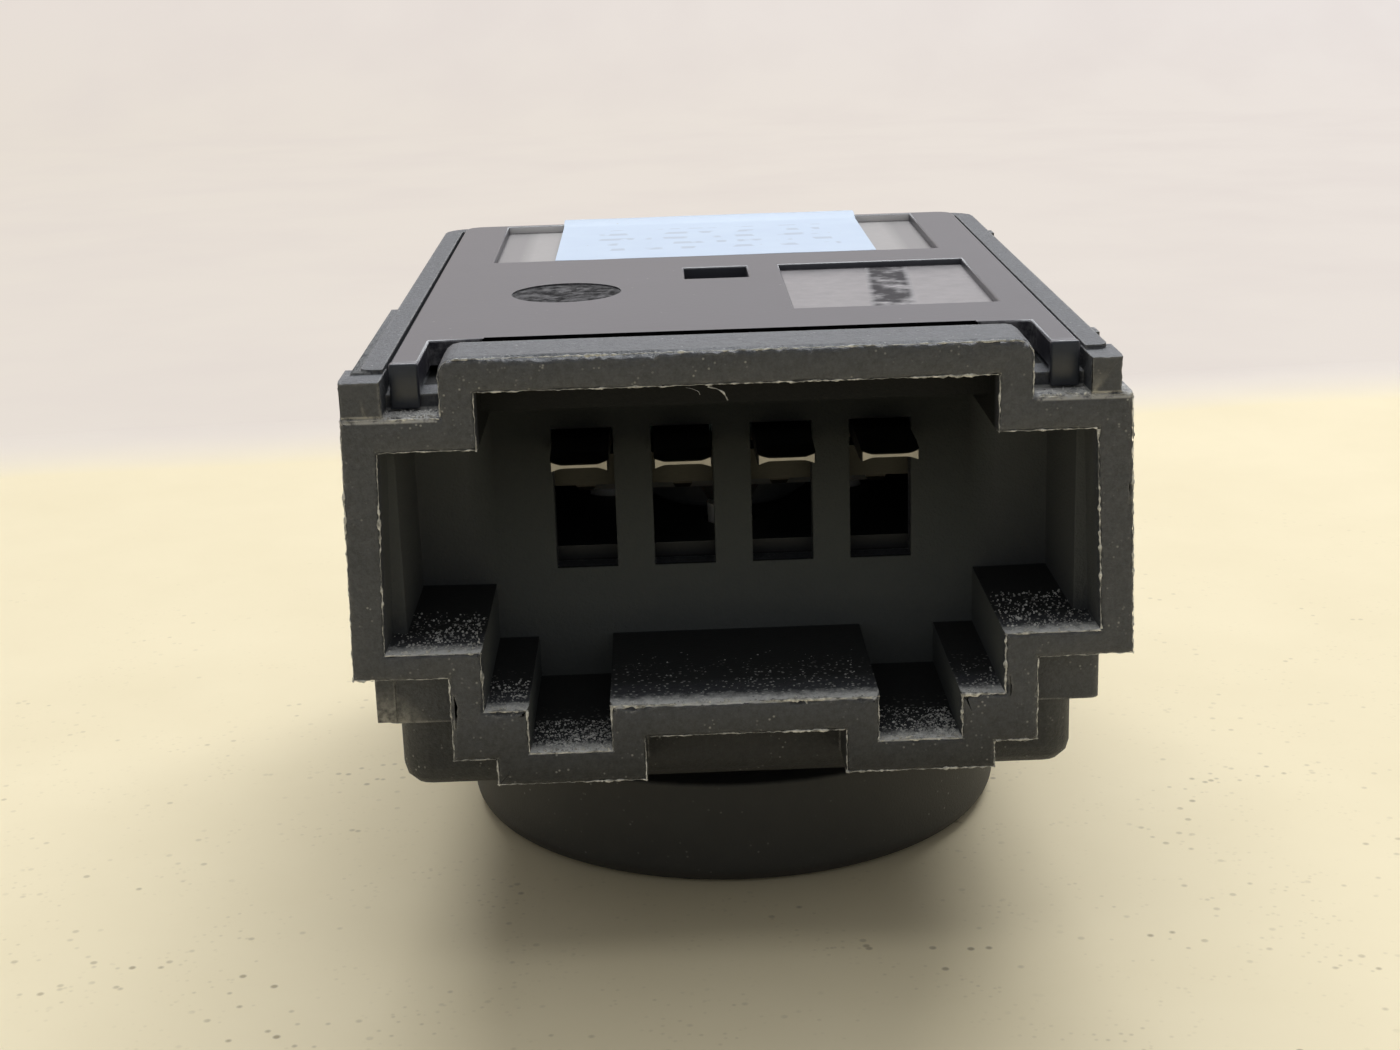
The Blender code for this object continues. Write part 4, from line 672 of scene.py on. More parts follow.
# Strands and drops: plastic that was drawn out when the mould opened. Two strands hang from the crown's
# edge, and small drops sit along the tongue and the slots beside it.
FRONT_FACE = FRONT_Y + 0.07 * MM
drawn_out = [
    [(-2.3, 28.5), (-2.0, 28.42), (-1.72, 28.3), (-1.66, 28.15)],
    [(-1.3, 28.5), (-0.9, 28.4), (-0.6, 28.2), (-0.42, 27.85)],
    [(-5.9, 13.2), (-5.4, 13.32), (-4.9, 13.22), (-4.3, 13.34)],
    [(2.85, 13.3), (2.95, 13.0), (2.9, 12.6)],
    [(5.75, 10.85), (5.95, 10.7), (6.1, 10.95)],
    [(7.1, 11.35), (7.4, 11.15), (7.8, 11.3), (8.0, 11.1)],
    [(12.9, 16.2), (13.3, 16.3), (13.9, 16.22)],
    [(10.4, 13.3), (10.9, 13.2), (11.2, 13.34)],
]
drawn_paths = [[Vector((x * MM, FRONT_FACE, z * MM)) for x, z in path] for path in drawn_out]
strands = bead("drawn_strands", drawn_paths, 0.08 * MM, 0.06 * MM, 11)
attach(strands, "case")


# Dust: pale grains of grit and plastic, thick at the socket's mouth and thinning towards its back, loose on
# every face of the shroud that looks up.
def grains(name, patches, density, size, reach, seed, material):
    """Grains strewn over level patches (low x, high x, low y, high y, z), thinning over a reach."""
    mesh = bpy.data.meshes.new(name)
    corners = []
    for low_x, high_x, low_y, high_y, z in patches:
        corners += [(low_x, low_y, z), (high_x, low_y, z), (high_x, high_y, z), (low_x, high_y, z)]
    mesh.from_pydata(corners, [], [tuple(range(4 * i, 4 * i + 4)) for i in range(len(patches))])
    steps = Steps(name)
    many = steps.size("Grains per square metre", density)
    small = steps.size("Smallest", size * 0.3)
    large = steps.size("Largest", size)
    span = steps.size("Reach", reach)
    start = steps.size("Front", FRONT_Y)
    place = steps.add("GeometryNodeInputPosition").outputs[0]
    along = steps.add("ShaderNodeSeparateXYZ", {0: place}).outputs["Y"]
    left = steps.math("DIVIDE", steps.math("SUBTRACT", steps.math("ADD", start, span), along), span)
    left = steps.math("MAXIMUM", left, 0.03)
    clumps = steps.math("MAXIMUM", steps.math("MULTIPLY_ADD", steps.noise(1.1 * MM), 6.0, -2.4), 0.05)
    thinned = steps.times(many, steps.times(steps.math("POWER", left, 3.0), clumps))
    sockets = {"Mesh": steps.given.outputs["Geometry"], "Density": thinned, "Seed": seed}
    strewn = steps.add("GeometryNodeDistributePointsOnFaces", sockets).outputs["Points"]
    grain = steps.add("GeometryNodeMeshIcoSphere", {"Radius": 1.0, "Subdivisions": 1}).outputs[0]
    sockets = {2: 0.0, 3: 1.0, "Seed": seed + 1}
    spread = steps.add("FunctionNodeRandomValue", sockets, data_type="FLOAT").outputs[1]
    spread = steps.math("POWER", spread, 3.0)
    width = steps.math("MULTIPLY_ADD", steps.math("SUBTRACT", large, small), spread, small)
    shape = steps.add("ShaderNodeCombineXYZ", {0: width, 1: steps.times(width, 0.7), 2: width}).outputs[0]
    sockets = {0: (0.0, 0.0, 0.0), 1: (6.3, 6.3, 6.3), "Seed": seed + 2}
    turns = steps.add("FunctionNodeRandomValue", sockets, data_type="FLOAT_VECTOR").outputs[0]
    sockets = {"Points": strewn, "Instance": grain, "Rotation": turns, "Scale": shape}
    laid = steps.add("GeometryNodeInstanceOnPoints", sockets).outputs[0]
    return steps.make(name, laid, mesh, material)


grit = Shading("grit")
grit_tones = grit.patches(0.7 * MM, 0.35, 0.65, detail=2.0)
grit_material = grit.finish(
    Base_Color=grit.mix(grit_tones, screen(150, 149, 146), screen(238, 236, 230)),
    Roughness=0.8,
    Normal=grit.bump(grit.noise(0.05 * MM), 0.01 * MM),
)
mouth = FRONT_Y + 0.12 * MM
dusty = [(-5.8 * MM, 5.8 * MM, mouth, FRONT_Y + 7 * MM, TONGUE_TOP)]
for side in (-1, 1):
    for near_x, far_x, length, z in (
        (12.35 * MM, 16.55 * MM, 6 * MM, WING_FLOOR_Z),
        (10.3 * MM, 12.1 * MM, 4 * MM, TONGUE_TOP),
        (6.0 * MM, 10.1 * MM, 4 * MM, SLOT_FLOOR_Z),
        (13.6 * MM, 17.7 * MM, 1.6 * MM, WING_TOP),
    ):
        low_x, high_x = sorted((side * near_x, side * far_x))
        dusty.append((low_x, high_x, mouth, FRONT_Y + length, z))
dust = grains("socket_dust", dusty, 1.3e8, 0.09 * MM, 2.5 * MM, 7, grit_material)
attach(dust, "case")


# The rear cover: a satin plate in the same black plastic, snapped in between the rims. The ends of its two
# tongues turn down over the shroud. Pocket and panel are paler, and the moulding mark is dark and mottled.
# The pocket's end wall carries painted light, and the seam behind the crown painted shade.
TONGUE_IN = 14.4 * MM
TONGUE_OUT = 15.75 * MM
COVER_END_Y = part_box("rear_cover")[0].y
POCKET_Y = 6.6 * MM
POCKET_END_Y = 21.0 * MM
POCKET_X = 12.95 * MM
COVER_EDGE = 0.1 * MM
COVER_FRONT_Y = FRONT_Y + 5.9 * MM
SEAM_HALF = 11.95 * MM
SEAM_WIDTH = 1.1 * MM
MARK_PLACE = Vector((-8.3, -4.2, 0.0)) * MM
MARK_RADIUS = 2.9 * MM
MARK_DEPTH = 0.3 * MM
MARK_SHOWN_DEPTH = 0.08 * MM


def add_box(bm, low, high, edge=0.0):
    """Adds a closed box between two corners, its edges rounded if asked."""
    low, high = Vector(low), Vector(high)
    made = bmesh.ops.create_cube(bm, size=1.0)["verts"]
    for vert in made:
        vert.co = Vector(low[i] if vert.co[i] < 0 else high[i] for i in range(3))
    if edge:
        edges = {line for vert in made for line in vert.link_edges}
        bmesh.ops.bevel(bm, geom=list(edges), offset=edge, segments=2, profile=0.5, affect="EDGES")


cover_bm = solid_copy("rear_cover")


def on_cover_edge(a, b):
    """An edge of the cover's top, but not the one behind the crown or the rim of the moulding mark."""
    middle = (a + b) / 2
    on_top = abs(a.z - COVER_TOP) < 0.02 * MM and abs(b.z - COVER_TOP) < 0.02 * MM
    at_front = abs(middle.y - COVER_FRONT_Y) < 0.05 * MM
    at_mark = (middle.xy - MARK_PLACE.xy).length < MARK_RADIUS + 0.1 * MM
    return on_top and not at_front and not at_mark


round_edges(cover_bm, COVER_EDGE, on_cover_edge)
for vert in cover_bm.verts:
    if abs(vert.co.x) < SEAM_HALF and abs(vert.co.y - COVER_FRONT_Y) < 0.05 * MM:
        vert.co.y += SEAM_WIDTH
    in_disc = (vert.co.xy - MARK_PLACE.xy).length < MARK_RADIUS + 0.05 * MM
    if in_disc and abs(vert.co.z - COVER_TOP + MARK_DEPTH) < 0.02 * MM:
        vert.co.z = COVER_TOP - MARK_SHOWN_DEPTH
for side in (-1, 1):
    low_x, high_x = sorted((side * TONGUE_IN, side * TONGUE_OUT))
    low = (low_x, COVER_END_Y - 0.35 * MM, WING_TOP + 0.08 * MM)
    high = (high_x, COVER_END_Y + 0.25 * MM, COVER_TOP - 0.01 * MM)
    add_box(cover_bm, low, high, edge=0.12 * MM)
satin = Shading("cover_satin")
satin_fine = satin.noise(0.5 * MM, detail=5.0, roughness=0.7)
satin_top = satin.facing("Z", 0.5, 0.9)
satin_front = satin.facing("Y", -0.4, -0.9)
on_panel = satin.times(satin.inside("X", 3.45 * MM, 13.65 * MM), satin.inside("Y", -10.95 * MM, 2.55 * MM))
panel_mottle = satin.patches(0.9 * MM, 0.3, 0.7, detail=5.0, roughness=0.65)
panel_shade = satin.mix(panel_mottle, screen(122, 118, 120), screen(142, 138, 139))
slant = satin.math("SUBTRACT", satin.part("X"), satin.times(satin.part("Y"), 0.07))
block = satin.times(
    satin.between(slant, 8.0 * MM, 8.4 * MM),
    satin.between(slant, 10.5 * MM, 10.1 * MM),
    satin.patches(1.3 * MM, 0.3, 0.56, detail=5.0),
)
panel_shade = satin.mix(satin.times(block, 0.85), panel_shade, screen(66, 64, 66))
on_strip = satin.times(
    satin.inside("X", -POCKET_X + 0.05 * MM, POCKET_X - 0.05 * MM),
    satin.inside("Y", POCKET_Y + 0.05 * MM, POCKET_END_Y - 0.05 * MM),
    satin_top,
)
beside_label = satin.between(satin.math("ABSOLUTE", satin.part("X")), 11.7 * MM, 10.9 * MM)
strip_shade = satin.mix(beside_label, screen(124, 120, 120), screen(162, 158, 156))
strip_shade = satin.mix(satin.times(satin_fine, 0.5), strip_shade, screen(128, 124, 122))
# Painted light: the pocket's end wall is painted near white, where the lamps leave it unlit.
painted_light_pocket_end = satin.times(
    satin_front,
    satin.inside("X", -POCKET_X, POCKET_X),
    satin.inside("Y", POCKET_END_Y - 0.1 * MM, POCKET_END_Y + 0.1 * MM),
)
mark_centre = (MARK_PLACE.x, MARK_PLACE.y, COVER_TOP)
from_mark = satin.vector("DISTANCE", satin.place, mark_centre, "Value")
in_mark = satin.between(from_mark, MARK_RADIUS + 0.05 * MM, MARK_RADIUS - 0.05 * MM)
mark_mottle = satin.patches(0.8 * MM, 0.38, 0.62, detail=4.0, roughness=0.7)
worn = satin.times(satin.edges(0.12 * MM), satin.between(satin_fine, 0.4, 0.6), 0.55)
tongue_end = satin.times(satin_front, satin.between(satin.part("Y"), COVER_END_Y + 0.3 * MM, COVER_END_Y))
lint = satin.times(satin.spots(0.9 * MM, 0.04, 0.09), satin.patches(5 * MM, 0.5, 0.6), satin_top, 0.5)
# Painted shade: the cover's front edge in the seam behind the crown is painted black and dull.
painted_shade_front_gap = satin.times(
    satin_front,
    satin.inside("X", -12 * MM, 12 * MM),
    satin.between(satin.part("Y"), -15.0 * MM, -15.5 * MM),
)
satin_shade = satin.layers(
    satin.mix(satin.noise(4 * MM, detail=5.0), screen(53, 53, 60), screen(64, 63, 71)),
    (satin.times(on_panel, satin_top), panel_shade),
    (on_strip, strip_shade),
    (painted_light_pocket_end, screen(232, 228, 226)),
    (in_mark, satin.mix(mark_mottle, screen(16, 15, 16), screen(70, 68, 70))),
    (worn, screen(156, 154, 156)),
    (tongue_end, satin.mix(satin_fine, screen(38, 42, 50), screen(58, 62, 70))),
    (lint, screen(170, 168, 166)),
    (painted_shade_front_gap, screen(6, 6, 6)),
)
dull_mark = satin.times(in_mark, satin.mixed(mark_mottle, 1.0, 0.55))
dull = satin.math("MAXIMUM", satin.math("MAXIMUM", dull_mark, satin.times(block, on_panel)), painted_shade_front_gap)
satin_material = satin.finish(
    Base_Color=satin_shade,
    Specular_IOR_Level=satin.mixed(dull, 0.5, 0.06),
    Roughness=satin.mixed(dull, satin.mixed(on_strip, 0.32, 0.42), 0.9),
    Normal=satin.bump(satin.noise(0.3 * MM), 0.004 * MM),
)
cover = shown("cover_plate", cover_bm, satin_material)
smooth_by_angle(cover)
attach(cover, "case")
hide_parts("rear_cover")


# The label: thin coated paper, pale blue, stuck into the cover's pocket and on over the back edge. Its
# print is rubbed down to a few faint grey bars.
LABEL_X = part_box("label")[1].x
LABEL_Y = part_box("label")[0].y
LABEL_END_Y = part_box("housing")[1].y - 0.35 * MM
LABEL_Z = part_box("label")[0].z
LABEL_THICK = 0.1 * MM
LABEL_CUTS = 24
label_run = [
    (LABEL_Y, 0.0),
    (LABEL_Y + 6.5 * MM, 0.0),
    (20.3 * MM, 0.0),
    (20.8 * MM, 0.06 * MM),
    (21.3 * MM, 0.24 * MM),
    (21.8 * MM, 0.26 * MM),
    (LABEL_END_Y, 0.22 * MM),
]
label_bm = bmesh.new()
under, top = [], []
for y, rise in label_run:
    row = []
    for i in range(LABEL_CUTS + 1):
        x = LABEL_X * (2 * i / LABEL_CUTS - 1)
        wave = 0.02 * MM * noise.noise(Vector((x, y, 0.0)) / (3 * MM))
        row.append(Vector((x, y, LABEL_Z + rise + wave)))
    under.append([label_bm.verts.new(place) for place in row])
    top.append([label_bm.verts.new(place + Vector((0.0, 0.0, LABEL_THICK))) for place in row])
last = len(label_run) - 1
for j in range(last):
    for i in range(LABEL_CUTS):
        for sheet in (under, top):
            label_bm.faces.new((sheet[j][i], sheet[j][i + 1], sheet[j + 1][i + 1], sheet[j + 1][i]))
    for i in (0, LABEL_CUTS):
        label_bm.faces.new((under[j][i], under[j + 1][i], top[j + 1][i], top[j][i]))
for i in range(LABEL_CUTS):
    for j in (0, last):
        label_bm.faces.new((under[j][i], under[j][i + 1], top[j][i + 1], top[j][i]))
bmesh.ops.recalc_face_normals(label_bm, faces=label_bm.faces)
paper = Shading("label_paper")
bars = paper.times(
    paper.inside("X", -8.2 * MM, 7.6 * MM, 0.1 * MM),
    paper.inside("Y", 9.2 * MM, 18.6 * MM, 0.1 * MM),
    paper.between(paper.math("SINE", paper.times(paper.part("Y"), 3100.0)), 0.1, 0.5),
    paper.patches(1.4 * MM, 0.5, 0.56, detail=1.0, stretch=(1.0, 0.3, 0.0)),
    0.4,
)
soil = paper.times(paper.spots(0.8 * MM, 0.05, 0.12), paper.patches(4 * MM, 0.5, 0.62), 0.5)
paper_shade = paper.layers(
    paper.mix(paper.noise(2.5 * MM, detail=5.0), screen(184, 200, 222), screen(196, 212, 230)),
    (bars, screen(138, 146, 158)),
    (soil, screen(150, 148, 142)),
)
paper_material = paper.finish(
    Base_Color=paper_shade,
    Roughness=0.45,
    Normal=paper.bump(paper.noise(0.25 * MM), 0.004 * MM),
)
label = shown("label_sheet", label_bm, paper_material)
smooth_by_angle(label)
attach(label, "case")
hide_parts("label")


# The terminals: four flat blades stamped from tinned brass, each coined to a thin tip with flared corners,
# then bent down and narrowed to a leg through the board. The tips shine; the rest is painted dark, as
# painted shade.
BLADE_TIP = FRONT_Y + 5.5 * MM
BLADE_HALF = 1.4 * MM
BLADE_THICK = 0.4 * MM
LEG_Y = -9.8 * MM
LEG_HALF = 0.5 * MM
BEND_RADIUS = 0.5 * MM
LEG_SHOULDER_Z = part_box("circuit_board")[1].z + 0.3 * MM
LEG_END_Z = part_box("terminal_1")[0].z
ACROSS = 13


def loft(bm, rings):
    """A closed skin over rings of points, every ring with the same number of points."""
    skins = [[bm.verts.new(place) for place in ring] for ring in rings]
    count = len(rings[0])
    for near, far in zip(skins, skins[1:]):
        for i in range(count):
            j = (i + 1) % count
            bm.faces.new((near[i], near[j], far[j], far[i]))
    bm.faces.new(skins[0])
    bm.faces.new(skins[-1])
    bmesh.ops.recalc_face_normals(bm, faces=bm.faces)


def blade_ring(centre, across, thick, half, middle, ends):
    """A ring around the blade: half its width, and half its thickness in the middle and towards the ends."""
    spread = [2 * i / (ACROSS - 1) - 1 for i in range(ACROSS)]
    heights = [middle + (ends - middle) * max((abs(u) - 0.62) / 0.38, 0.0) ** 1.3 for u in spread]
    top = [centre + across * (u * half) + thick * h for u, h in zip(spread, heights)]
    under = [centre + across * (u * half) - thick * h for u, h in zip(reversed(spread), reversed(heights))]
    return top + under


def terminal_bm(x):
    made = bmesh.new()
    side, up, back = Vector((1, 0, 0)), Vector((0, 0, 1)), Vector((0, 1, 0))
    at = [
        (0.0, BLADE_HALF - 0.06 * MM, 0.07 * MM, 0.23 * MM),
        (0.12 * MM, BLADE_HALF, 0.1 * MM, 0.27 * MM),
        (1.3 * MM, BLADE_HALF, BLADE_THICK - 0.02 * MM, BLADE_THICK),
        (1.5 * MM, BLADE_HALF, BLADE_THICK, BLADE_THICK),
    ]
    rings = [
        blade_ring(Vector((x, BLADE_TIP + depth, PIN_Z)), side, up, half, middle, ends)
        for depth, half, middle, ends in at
    ]
    bend = Vector((x, LEG_Y - BEND_RADIUS, PIN_Z - BEND_RADIUS))
    for step in range(7):
        turn = math.pi / 2 * step / 6
        out = back * math.sin(turn) + up * math.cos(turn)
        rings.append(blade_ring(bend + out * BEND_RADIUS, side, out, BLADE_HALF, BLADE_THICK, BLADE_THICK))
    for z, half in (
        (LEG_SHOULDER_Z, BLADE_HALF),
        (LEG_SHOULDER_Z - 0.02 * MM, LEG_HALF),
        (LEG_END_Z + 0.25 * MM, LEG_HALF),
        (LEG_END_Z, LEG_HALF - 0.15 * MM),
    ):
        thick = BLADE_THICK if z > LEG_END_Z else 0.22 * MM
        rings.append(blade_ring(Vector((x, LEG_Y, z)), side, back, half, thick, thick))
    loft(made, rings)
    return made


tin = Shading("tinned_brass")
tin_cloud = tin.noise(0.8 * MM, detail=5.0, roughness=0.65)
at_tip = tin.between(tin.part("Y"), BLADE_TIP + 0.2 * MM, BLADE_TIP + 0.04 * MM)
# Painted shade: all but the tip is painted dark, for the shade deep in the socket.
tin_with_painted_shade = tin.mix(tin_cloud, screen(44, 42, 39), screen(66, 63, 58))
tin_with_painted_shade = tin.mix(at_tip, tin_with_painted_shade, tin.mix(tin_cloud, screen(128, 125, 119), screen(176, 172, 164)))
tin_material = tin.finish(
    Base_Color=tin_with_painted_shade,
    Metallic=1.0,
    Roughness=tin.mixed(at_tip, 0.5, 0.42),
    Normal=tin.bump(tin.noise(0.2 * MM, stretch=(1.0, 0.3, 1.0)), 0.006 * MM),
)
for number in range(1, 5):
    node = f"terminal_{number}"
    low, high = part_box(node)
    blade = shown(f"blade_{number}", terminal_bm((low.x + high.x) / 2), tin_material)
    smooth_by_angle(blade, 25)
    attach(blade, "case")
    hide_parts(node)


# The knob: face, rim, ball-shaped neck and stem turned as one moulding, matt black, with two prongs at the
# stem's end that turn the selector and a slot in the face for the pointer.
BEZEL_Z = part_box("housing")[0].z
PIVOT_Z = BEZEL_Z + 4.8 * MM
RIM_RADIUS = 15.5 * MM
FACE_RADIUS = 15.1 * MM
RIM_INSIDE = 14.0 * MM
KNOB_RIM_Z = BEZEL_Z - 2.2 * MM
KNOB_EDGE = 0.2 * MM
FACE_EDGE = 1.2 * MM
FACE_WALL = 1.8 * MM
NECK_SPHERE = 11.6 * MM
NECK_INSIDE = 10.4 * MM
NECK_DROPS = (6.0 * MM, 2.7 * MM)
SHOULDER_RADIUS = 4.0 * MM
SHOULDER_Z = 10.9 * MM
STEM_RADIUS = 2.8 * MM
STEM_BORE = 1.6 * MM
STEM_TOP_Z = 15.5 * MM
BORE_FLOOR_Z = 1.5 * MM
GROOVE_RADIUS = 2.2 * MM
GROOVE_Z = (14.2 * MM, 15.1 * MM)
PRONG_TOP_Z = 17.4 * MM
KNOB_SIDES = 144
POINTER_LOW, POINTER_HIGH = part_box("knob_pointer")
POINTER_GAP = 0.3 * MM


def turned_bm(profile, steps):
    """A closed profile of (radius, height) turned about the upright axis."""
    made = bmesh.new()
    rings = []
    for radius, height in profile:
        if radius < 1e-9:
            rings.append([made.verts.new((0.0, 0.0, height))])
        else:
            angles = (math.tau * i / steps for i in range(steps))
            places = [(radius * math.cos(a), radius * math.sin(a), height) for a in angles]
            rings.append([made.verts.new(place) for place in places])
    closed = zip(rings, rings[1:] + rings[:1])
    for near, far in closed:
        for i in range(steps):
            j = (i + 1) % steps
            corners = [near[i % len(near)], near[j % len(near)], far[j % len(far)], far[i % len(far)]]
            corners = list(dict.fromkeys(corners))
            if len(corners) > 2:
                made.faces.new(corners)
    bmesh.ops.recalc_face_normals(made, faces=made.faces)
    return made


def ball_side(radius, centre, low, high):
    """Profile points on a ball about the axis, from one height to another."""
    heights = [low + (high - low) * i / 10 for i in range(11)]
    return [(math.sqrt(radius**2 - (z - centre) ** 2), z) for z in heights]


def rounded_corner(centre, radius, start, end, steps):
    """Profile points on a corner's curve, from one angle to another."""
    angles = [math.radians(start + (end - start) * i / steps) for i in range(steps + 1)]
    return [(centre[0] + radius * math.cos(a), centre[1] + radius * math.sin(a)) for a in angles]


neck_outer = math.sqrt(NECK_SPHERE**2 - NECK_DROPS[0] ** 2)
neck_inner = math.sqrt(NECK_INSIDE**2 - NECK_DROPS[0] ** 2)
neck_low, neck_high = (PIVOT_Z - drop for drop in NECK_DROPS)
knob_profile = [
    (0.0, BORE_FLOOR_Z),
    (STEM_BORE, BORE_FLOOR_Z),
    (STEM_BORE, STEM_TOP_Z),
    *rounded_corner((STEM_RADIUS - KNOB_EDGE, STEM_TOP_Z - KNOB_EDGE), KNOB_EDGE, 90, 0, 3),
    (STEM_RADIUS, GROOVE_Z[1]),
    (GROOVE_RADIUS, GROOVE_Z[1]),
    (GROOVE_RADIUS, GROOVE_Z[0]),
    (STEM_RADIUS, GROOVE_Z[0]),
    (STEM_RADIUS, SHOULDER_Z),
    *rounded_corner((SHOULDER_RADIUS - 0.15 * MM, SHOULDER_Z - 0.15 * MM), 0.15 * MM, 90, 0, 3),
    (SHOULDER_RADIUS, FACE_WALL),
    (neck_inner, FACE_WALL),
    *ball_side(NECK_INSIDE, PIVOT_Z, neck_low, neck_high),
    *ball_side(NECK_SPHERE, PIVOT_Z, neck_high, neck_low),
    (neck_outer, FACE_WALL),
    (RIM_INSIDE - 0.4 * MM, FACE_WALL),
    (RIM_INSIDE, KNOB_RIM_Z),
    *rounded_corner((RIM_RADIUS - KNOB_EDGE, KNOB_RIM_Z - KNOB_EDGE), KNOB_EDGE, 90, 0, 3),
    *rounded_corner((FACE_RADIUS - FACE_EDGE, FACE_EDGE), FACE_EDGE, 0, -90, 10),
    (0.0, 0.0),
]
knob_bm = turned_bm(knob_profile, KNOB_SIDES)
for side in (-1, 1):
    low_x, high_x = sorted((side * 1.7 * MM, side * 2.7 * MM))
    low = (low_x, -0.6 * MM, STEM_TOP_Z - 0.2 * MM)
    add_box(knob_bm, low, (high_x, 0.6 * MM, PRONG_TOP_Z), edge=0.12 * MM)
slot_bm = bmesh.new()
slot_low = (POINTER_LOW.x - POINTER_GAP, POINTER_LOW.y - POINTER_GAP, -1.0 * MM)
add_box(slot_bm, slot_low, POINTER_HIGH + Vector((POINTER_GAP, POINTER_GAP, POINTER_GAP)))
soft_black = Shading("knob_black")
soft_grain = soft_black.noise(0.14 * MM, detail=3.0, roughness=0.7)
rubbed = soft_black.times(soft_black.edges(0.25 * MM), soft_black.patches(0.7 * MM, 0.4, 0.65), 0.6)
fluff = soft_black.times(soft_black.spots(0.5 * MM, 0.06, 0.16), soft_black.patches(2.4 * MM, 0.5, 0.65))
soft_shade = soft_black.layers(
    soft_black.mix(soft_black.noise(3 * MM, detail=5.0), screen(42, 42, 41), screen(54, 54, 52)),
    (rubbed, screen(120, 119, 115)),
    (soft_black.times(fluff, 0.5), screen(140, 138, 132)),
)
soft_material = soft_black.finish(
    Base_Color=soft_shade,
    Roughness=0.62,
    Normal=soft_black.bump(soft_grain, 0.02 * MM),
)
knob = shown("knob_moulding", knob_bm, soft_material)
pointer_slot = shown("pointer_slot", slot_bm, soft_material)
cutting = knob.modifiers.new("slot", "BOOLEAN")
cutting.operation = "DIFFERENCE"
cutting.solver = "EXACT"
cutting.use_self = True
cutting.object = pointer_slot
bpy.context.view_layer.update()
cut_mesh = bpy.data.meshes.new_from_object(knob.evaluated_get(bpy.context.evaluated_depsgraph_get()))
knob.modifiers.clear()
knob.data = cut_mesh
bpy.data.objects.remove(pointer_slot)
smooth_by_angle(knob)
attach(knob, "knob")
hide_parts("knob")


# The pointer and the light guide: the pointer is milky white, so that it glows at night, and sits flush in
# the face; the guide is a clear rod pushed into the hollow stem, slightly yellowed.
def give(node, material):
    """Puts a material on one of the CAD model's own nodes."""
    slots = nodes[node].data.materials
    slots.clear()
    slots.append(material)


milky = Shading("pointer_milky")
milky_shade = milky.mix(milky.noise(0.8 * MM, detail=4.0), screen(214, 212, 204), screen(232, 231, 224))
milky_edge = milky.times(milky.edges(0.12 * MM), 0.5)
milky_shade = milky.mix(milky_edge, milky_shade, screen(176, 172, 162))
milky_fine = milky.bump(milky.noise(0.3 * MM), 0.004 * MM)
give("knob_pointer", milky.finish(Base_Color=milky_shade, Roughness=0.35, Normal=milky_fine))
clear = Shading("guide_clear")
clear_shade = clear.mix(clear.noise(2 * MM), screen(238, 236, 222), screen(248, 247, 238))
give(
    "light_guide",
    clear.finish(
        Base_Color=clear_shade,
        Roughness=clear.mixed(clear.noise(0.5 * MM), 0.08, 0.2),
        Transmission_Weight=0.85,
        IOR=1.49,
    ),
)


# The tilting parts: a grey gimbal ring on two pins in the case, and in it the darker rocker that carries
# the knob's stem. Both are plain glass-filled mouldings with a faint flow pattern.
def plain_moulding(name, dark, light, roughness, grain=0.2 * MM):
    """A plain inner moulding: a cloudy colour, a faint flow pattern, rubbed edges and a fine grain."""
    made = Shading(name)
    flow = made.noise(2.2 * MM, detail=5.0, roughness=0.6, stretch=(1.0, 0.4, 1.0))
    shade = made.mix(flow, screen(*dark), screen(*light))
    rubbed = made.times(made.edges(0.15 * MM), made.patches(0.5 * MM, 0.4, 0.65), 0.5)
    lighter = tuple(min(value + 50, 245) for value in light)
    shade = made.mix(rubbed, shade, screen(*lighter))
    return made.finish(
        Base_Color=shade,
        Roughness=roughness,
        Normal=made.bump(made.noise(grain, detail=3.0), 0.02 * MM),
    )


give("gimbal_ring", plain_moulding("ring_grey", (112, 114, 116), (128, 130, 132), 0.45))
give("rocker", plain_moulding("rocker_grey", (66, 68, 71), (80, 82, 85), 0.45))


# The selector: the guide frame, the rotor that the stem's prongs turn, and the four pushers between the
# rocker's feet and the domes. They are acetal, which is slippery and needs no grease: grey rotor, natural
# white pushers, and a frame painted black as painted shade for the dark socket around it.
# Painted shade: the frame is painted black, for the shade it sits in.
give("guide_frame", plain_moulding("frame_grey", (26, 27, 28), (36, 37, 38), 0.6))
give("selector_rotor", plain_moulding("rotor_grey", (70, 71, 72), (86, 87, 88), 0.4))
pusher_white = plain_moulding("pusher_white", (198, 198, 192), (216, 215, 208), 0.35, 0.15 * MM)
for place in ("left", "right", "front", "rear"):
    give(f"pusher_{place}", pusher_white)


# The small metal parts: the open retaining ring and the detent's spring of spring steel, its turned
# plunger, and the bronze wiper with its three pads, all with the faint lines of drawing and stamping.
def bare_metal(name, dark, light, roughness, stretch):
    made = Shading(name)
    lines = made.noise(0.25 * MM, detail=4.0, roughness=0.7, stretch=stretch)
    shade = made.mix(lines, screen(*dark), screen(*light))
    tarnish = made.patches(1.2 * MM, 0.45, 0.7, detail=5.0)
    shade = made.mix(made.times(tarnish, 0.4), shade, screen(*(value * 0.6 for value in dark)))
    return made.finish(
        Base_Color=shade,
        Metallic=1.0,
        Roughness=made.mixed(lines, roughness, roughness + 0.12),
        Normal=made.bump(lines, 0.006 * MM),
    )


spring_steel = bare_metal("steel_drawn", (132, 134, 138), (168, 170, 174), 0.3, (1.0, 1.0, 0.2))
for node in ("retaining_ring", "detent_spring"):
    give(node, spring_steel)
give("detent_plunger", bare_metal("plunger_steel", (150, 152, 156), (182, 184, 188), 0.22, (1.0, 1.0, 0.2)))
give("wiper_contact", bare_metal("bronze_stamped", (176, 124, 70), (204, 150, 90), 0.28, (0.3, 1.0, 1.0)))


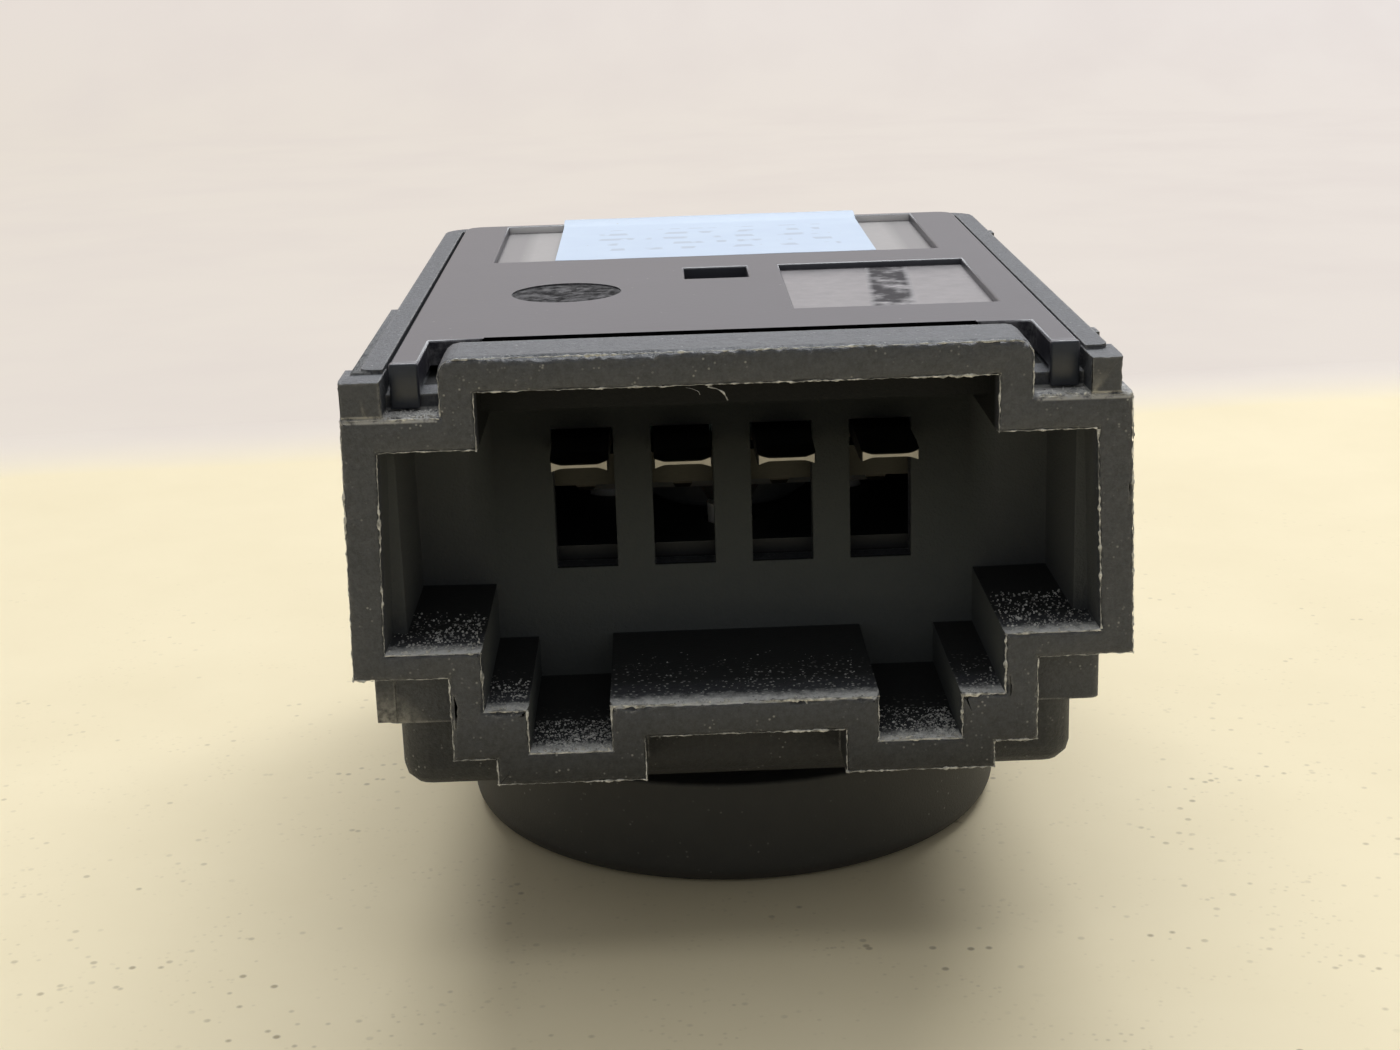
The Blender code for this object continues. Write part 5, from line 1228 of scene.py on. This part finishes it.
# The circuit board: a sheet of glass laminate with a green solder mask. Under it lie the silicone dome mat
# and the lamp, and on top three chip resistors with tinned ends.
laminate = Shading("laminate_green")
board_normal = laminate.add("ShaderNodeNewGeometry").outputs["Normal"]
on_flat = laminate.between(laminate.math("ABSOLUTE", laminate.part("Z", board_normal)), 0.5, 0.8)
weave_x = laminate.math("SINE", laminate.times(laminate.part("X"), 12000.0))
weave_y = laminate.math("SINE", laminate.times(laminate.part("Y"), 12000.0))
weave = laminate.times(weave_x, weave_y)
mask_green = laminate.mix(laminate.noise(3 * MM, detail=4.0), screen(30, 72, 48), screen(38, 84, 56))
tracks = laminate.between(laminate.noise(3.2 * MM, detail=0.0, stretch=(1.0, 0.16, 1.0)), 0.53, 0.545)
mask_green = laminate.mix(laminate.times(tracks, 0.7), mask_green, screen(52, 104, 66))
fibres = laminate.noise(0.3 * MM, stretch=(1.0, 1.0, 4.0))
cut_edge = laminate.mix(fibres, screen(44, 42, 32), screen(62, 58, 44))
give(
    "circuit_board",
    laminate.finish(
        Base_Color=laminate.mix(on_flat, cut_edge, mask_green),
        Roughness=laminate.mixed(on_flat, 0.7, 0.35),
        Normal=laminate.bump(weave, 0.003 * MM),
    ),
)
silicone = Shading("mat_silicone")
silicone_shade = silicone.mix(silicone.noise(1.8 * MM, detail=4.0), screen(40, 41, 42), screen(50, 51, 52))
give(
    "dome_mat",
    silicone.finish(
        Base_Color=silicone_shade,
        Roughness=0.6,
        Subsurface_Weight=0.15,
        Subsurface_Scale=0.5 * MM,
        Normal=silicone.bump(silicone.noise(0.15 * MM), 0.01 * MM),
    ),
)


def chip(name, node, dark, light, end, roughness):
    """A small part with a cloudy body and two tinned ends."""
    made = Shading(name)
    low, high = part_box(node)
    middle = made.inside("X", low.x + 0.32 * MM, high.x - 0.32 * MM, 0.02 * MM)
    body = made.mix(made.noise(0.4 * MM, detail=3.0), screen(*dark), screen(*light))
    ends = made.mix(made.noise(0.3 * MM), screen(*(value * 0.85 for value in end)), screen(*end))
    return made.finish(
        Base_Color=made.mix(middle, ends, body),
        Metallic=made.mixed(middle, 0.9, 0.0),
        Roughness=roughness,
        Normal=made.bump(made.noise(0.12 * MM), 0.006 * MM),
    )


give("lamp", chip("lamp_finish", "lamp", (226, 214, 150), (240, 230, 176), (196, 192, 180), 0.3))
for number in range(1, 4):
    node = f"resistor_{number}"
    give(node, chip(f"{node}_body", node, (34, 34, 36), (46, 46, 49), (188, 186, 180), 0.4))
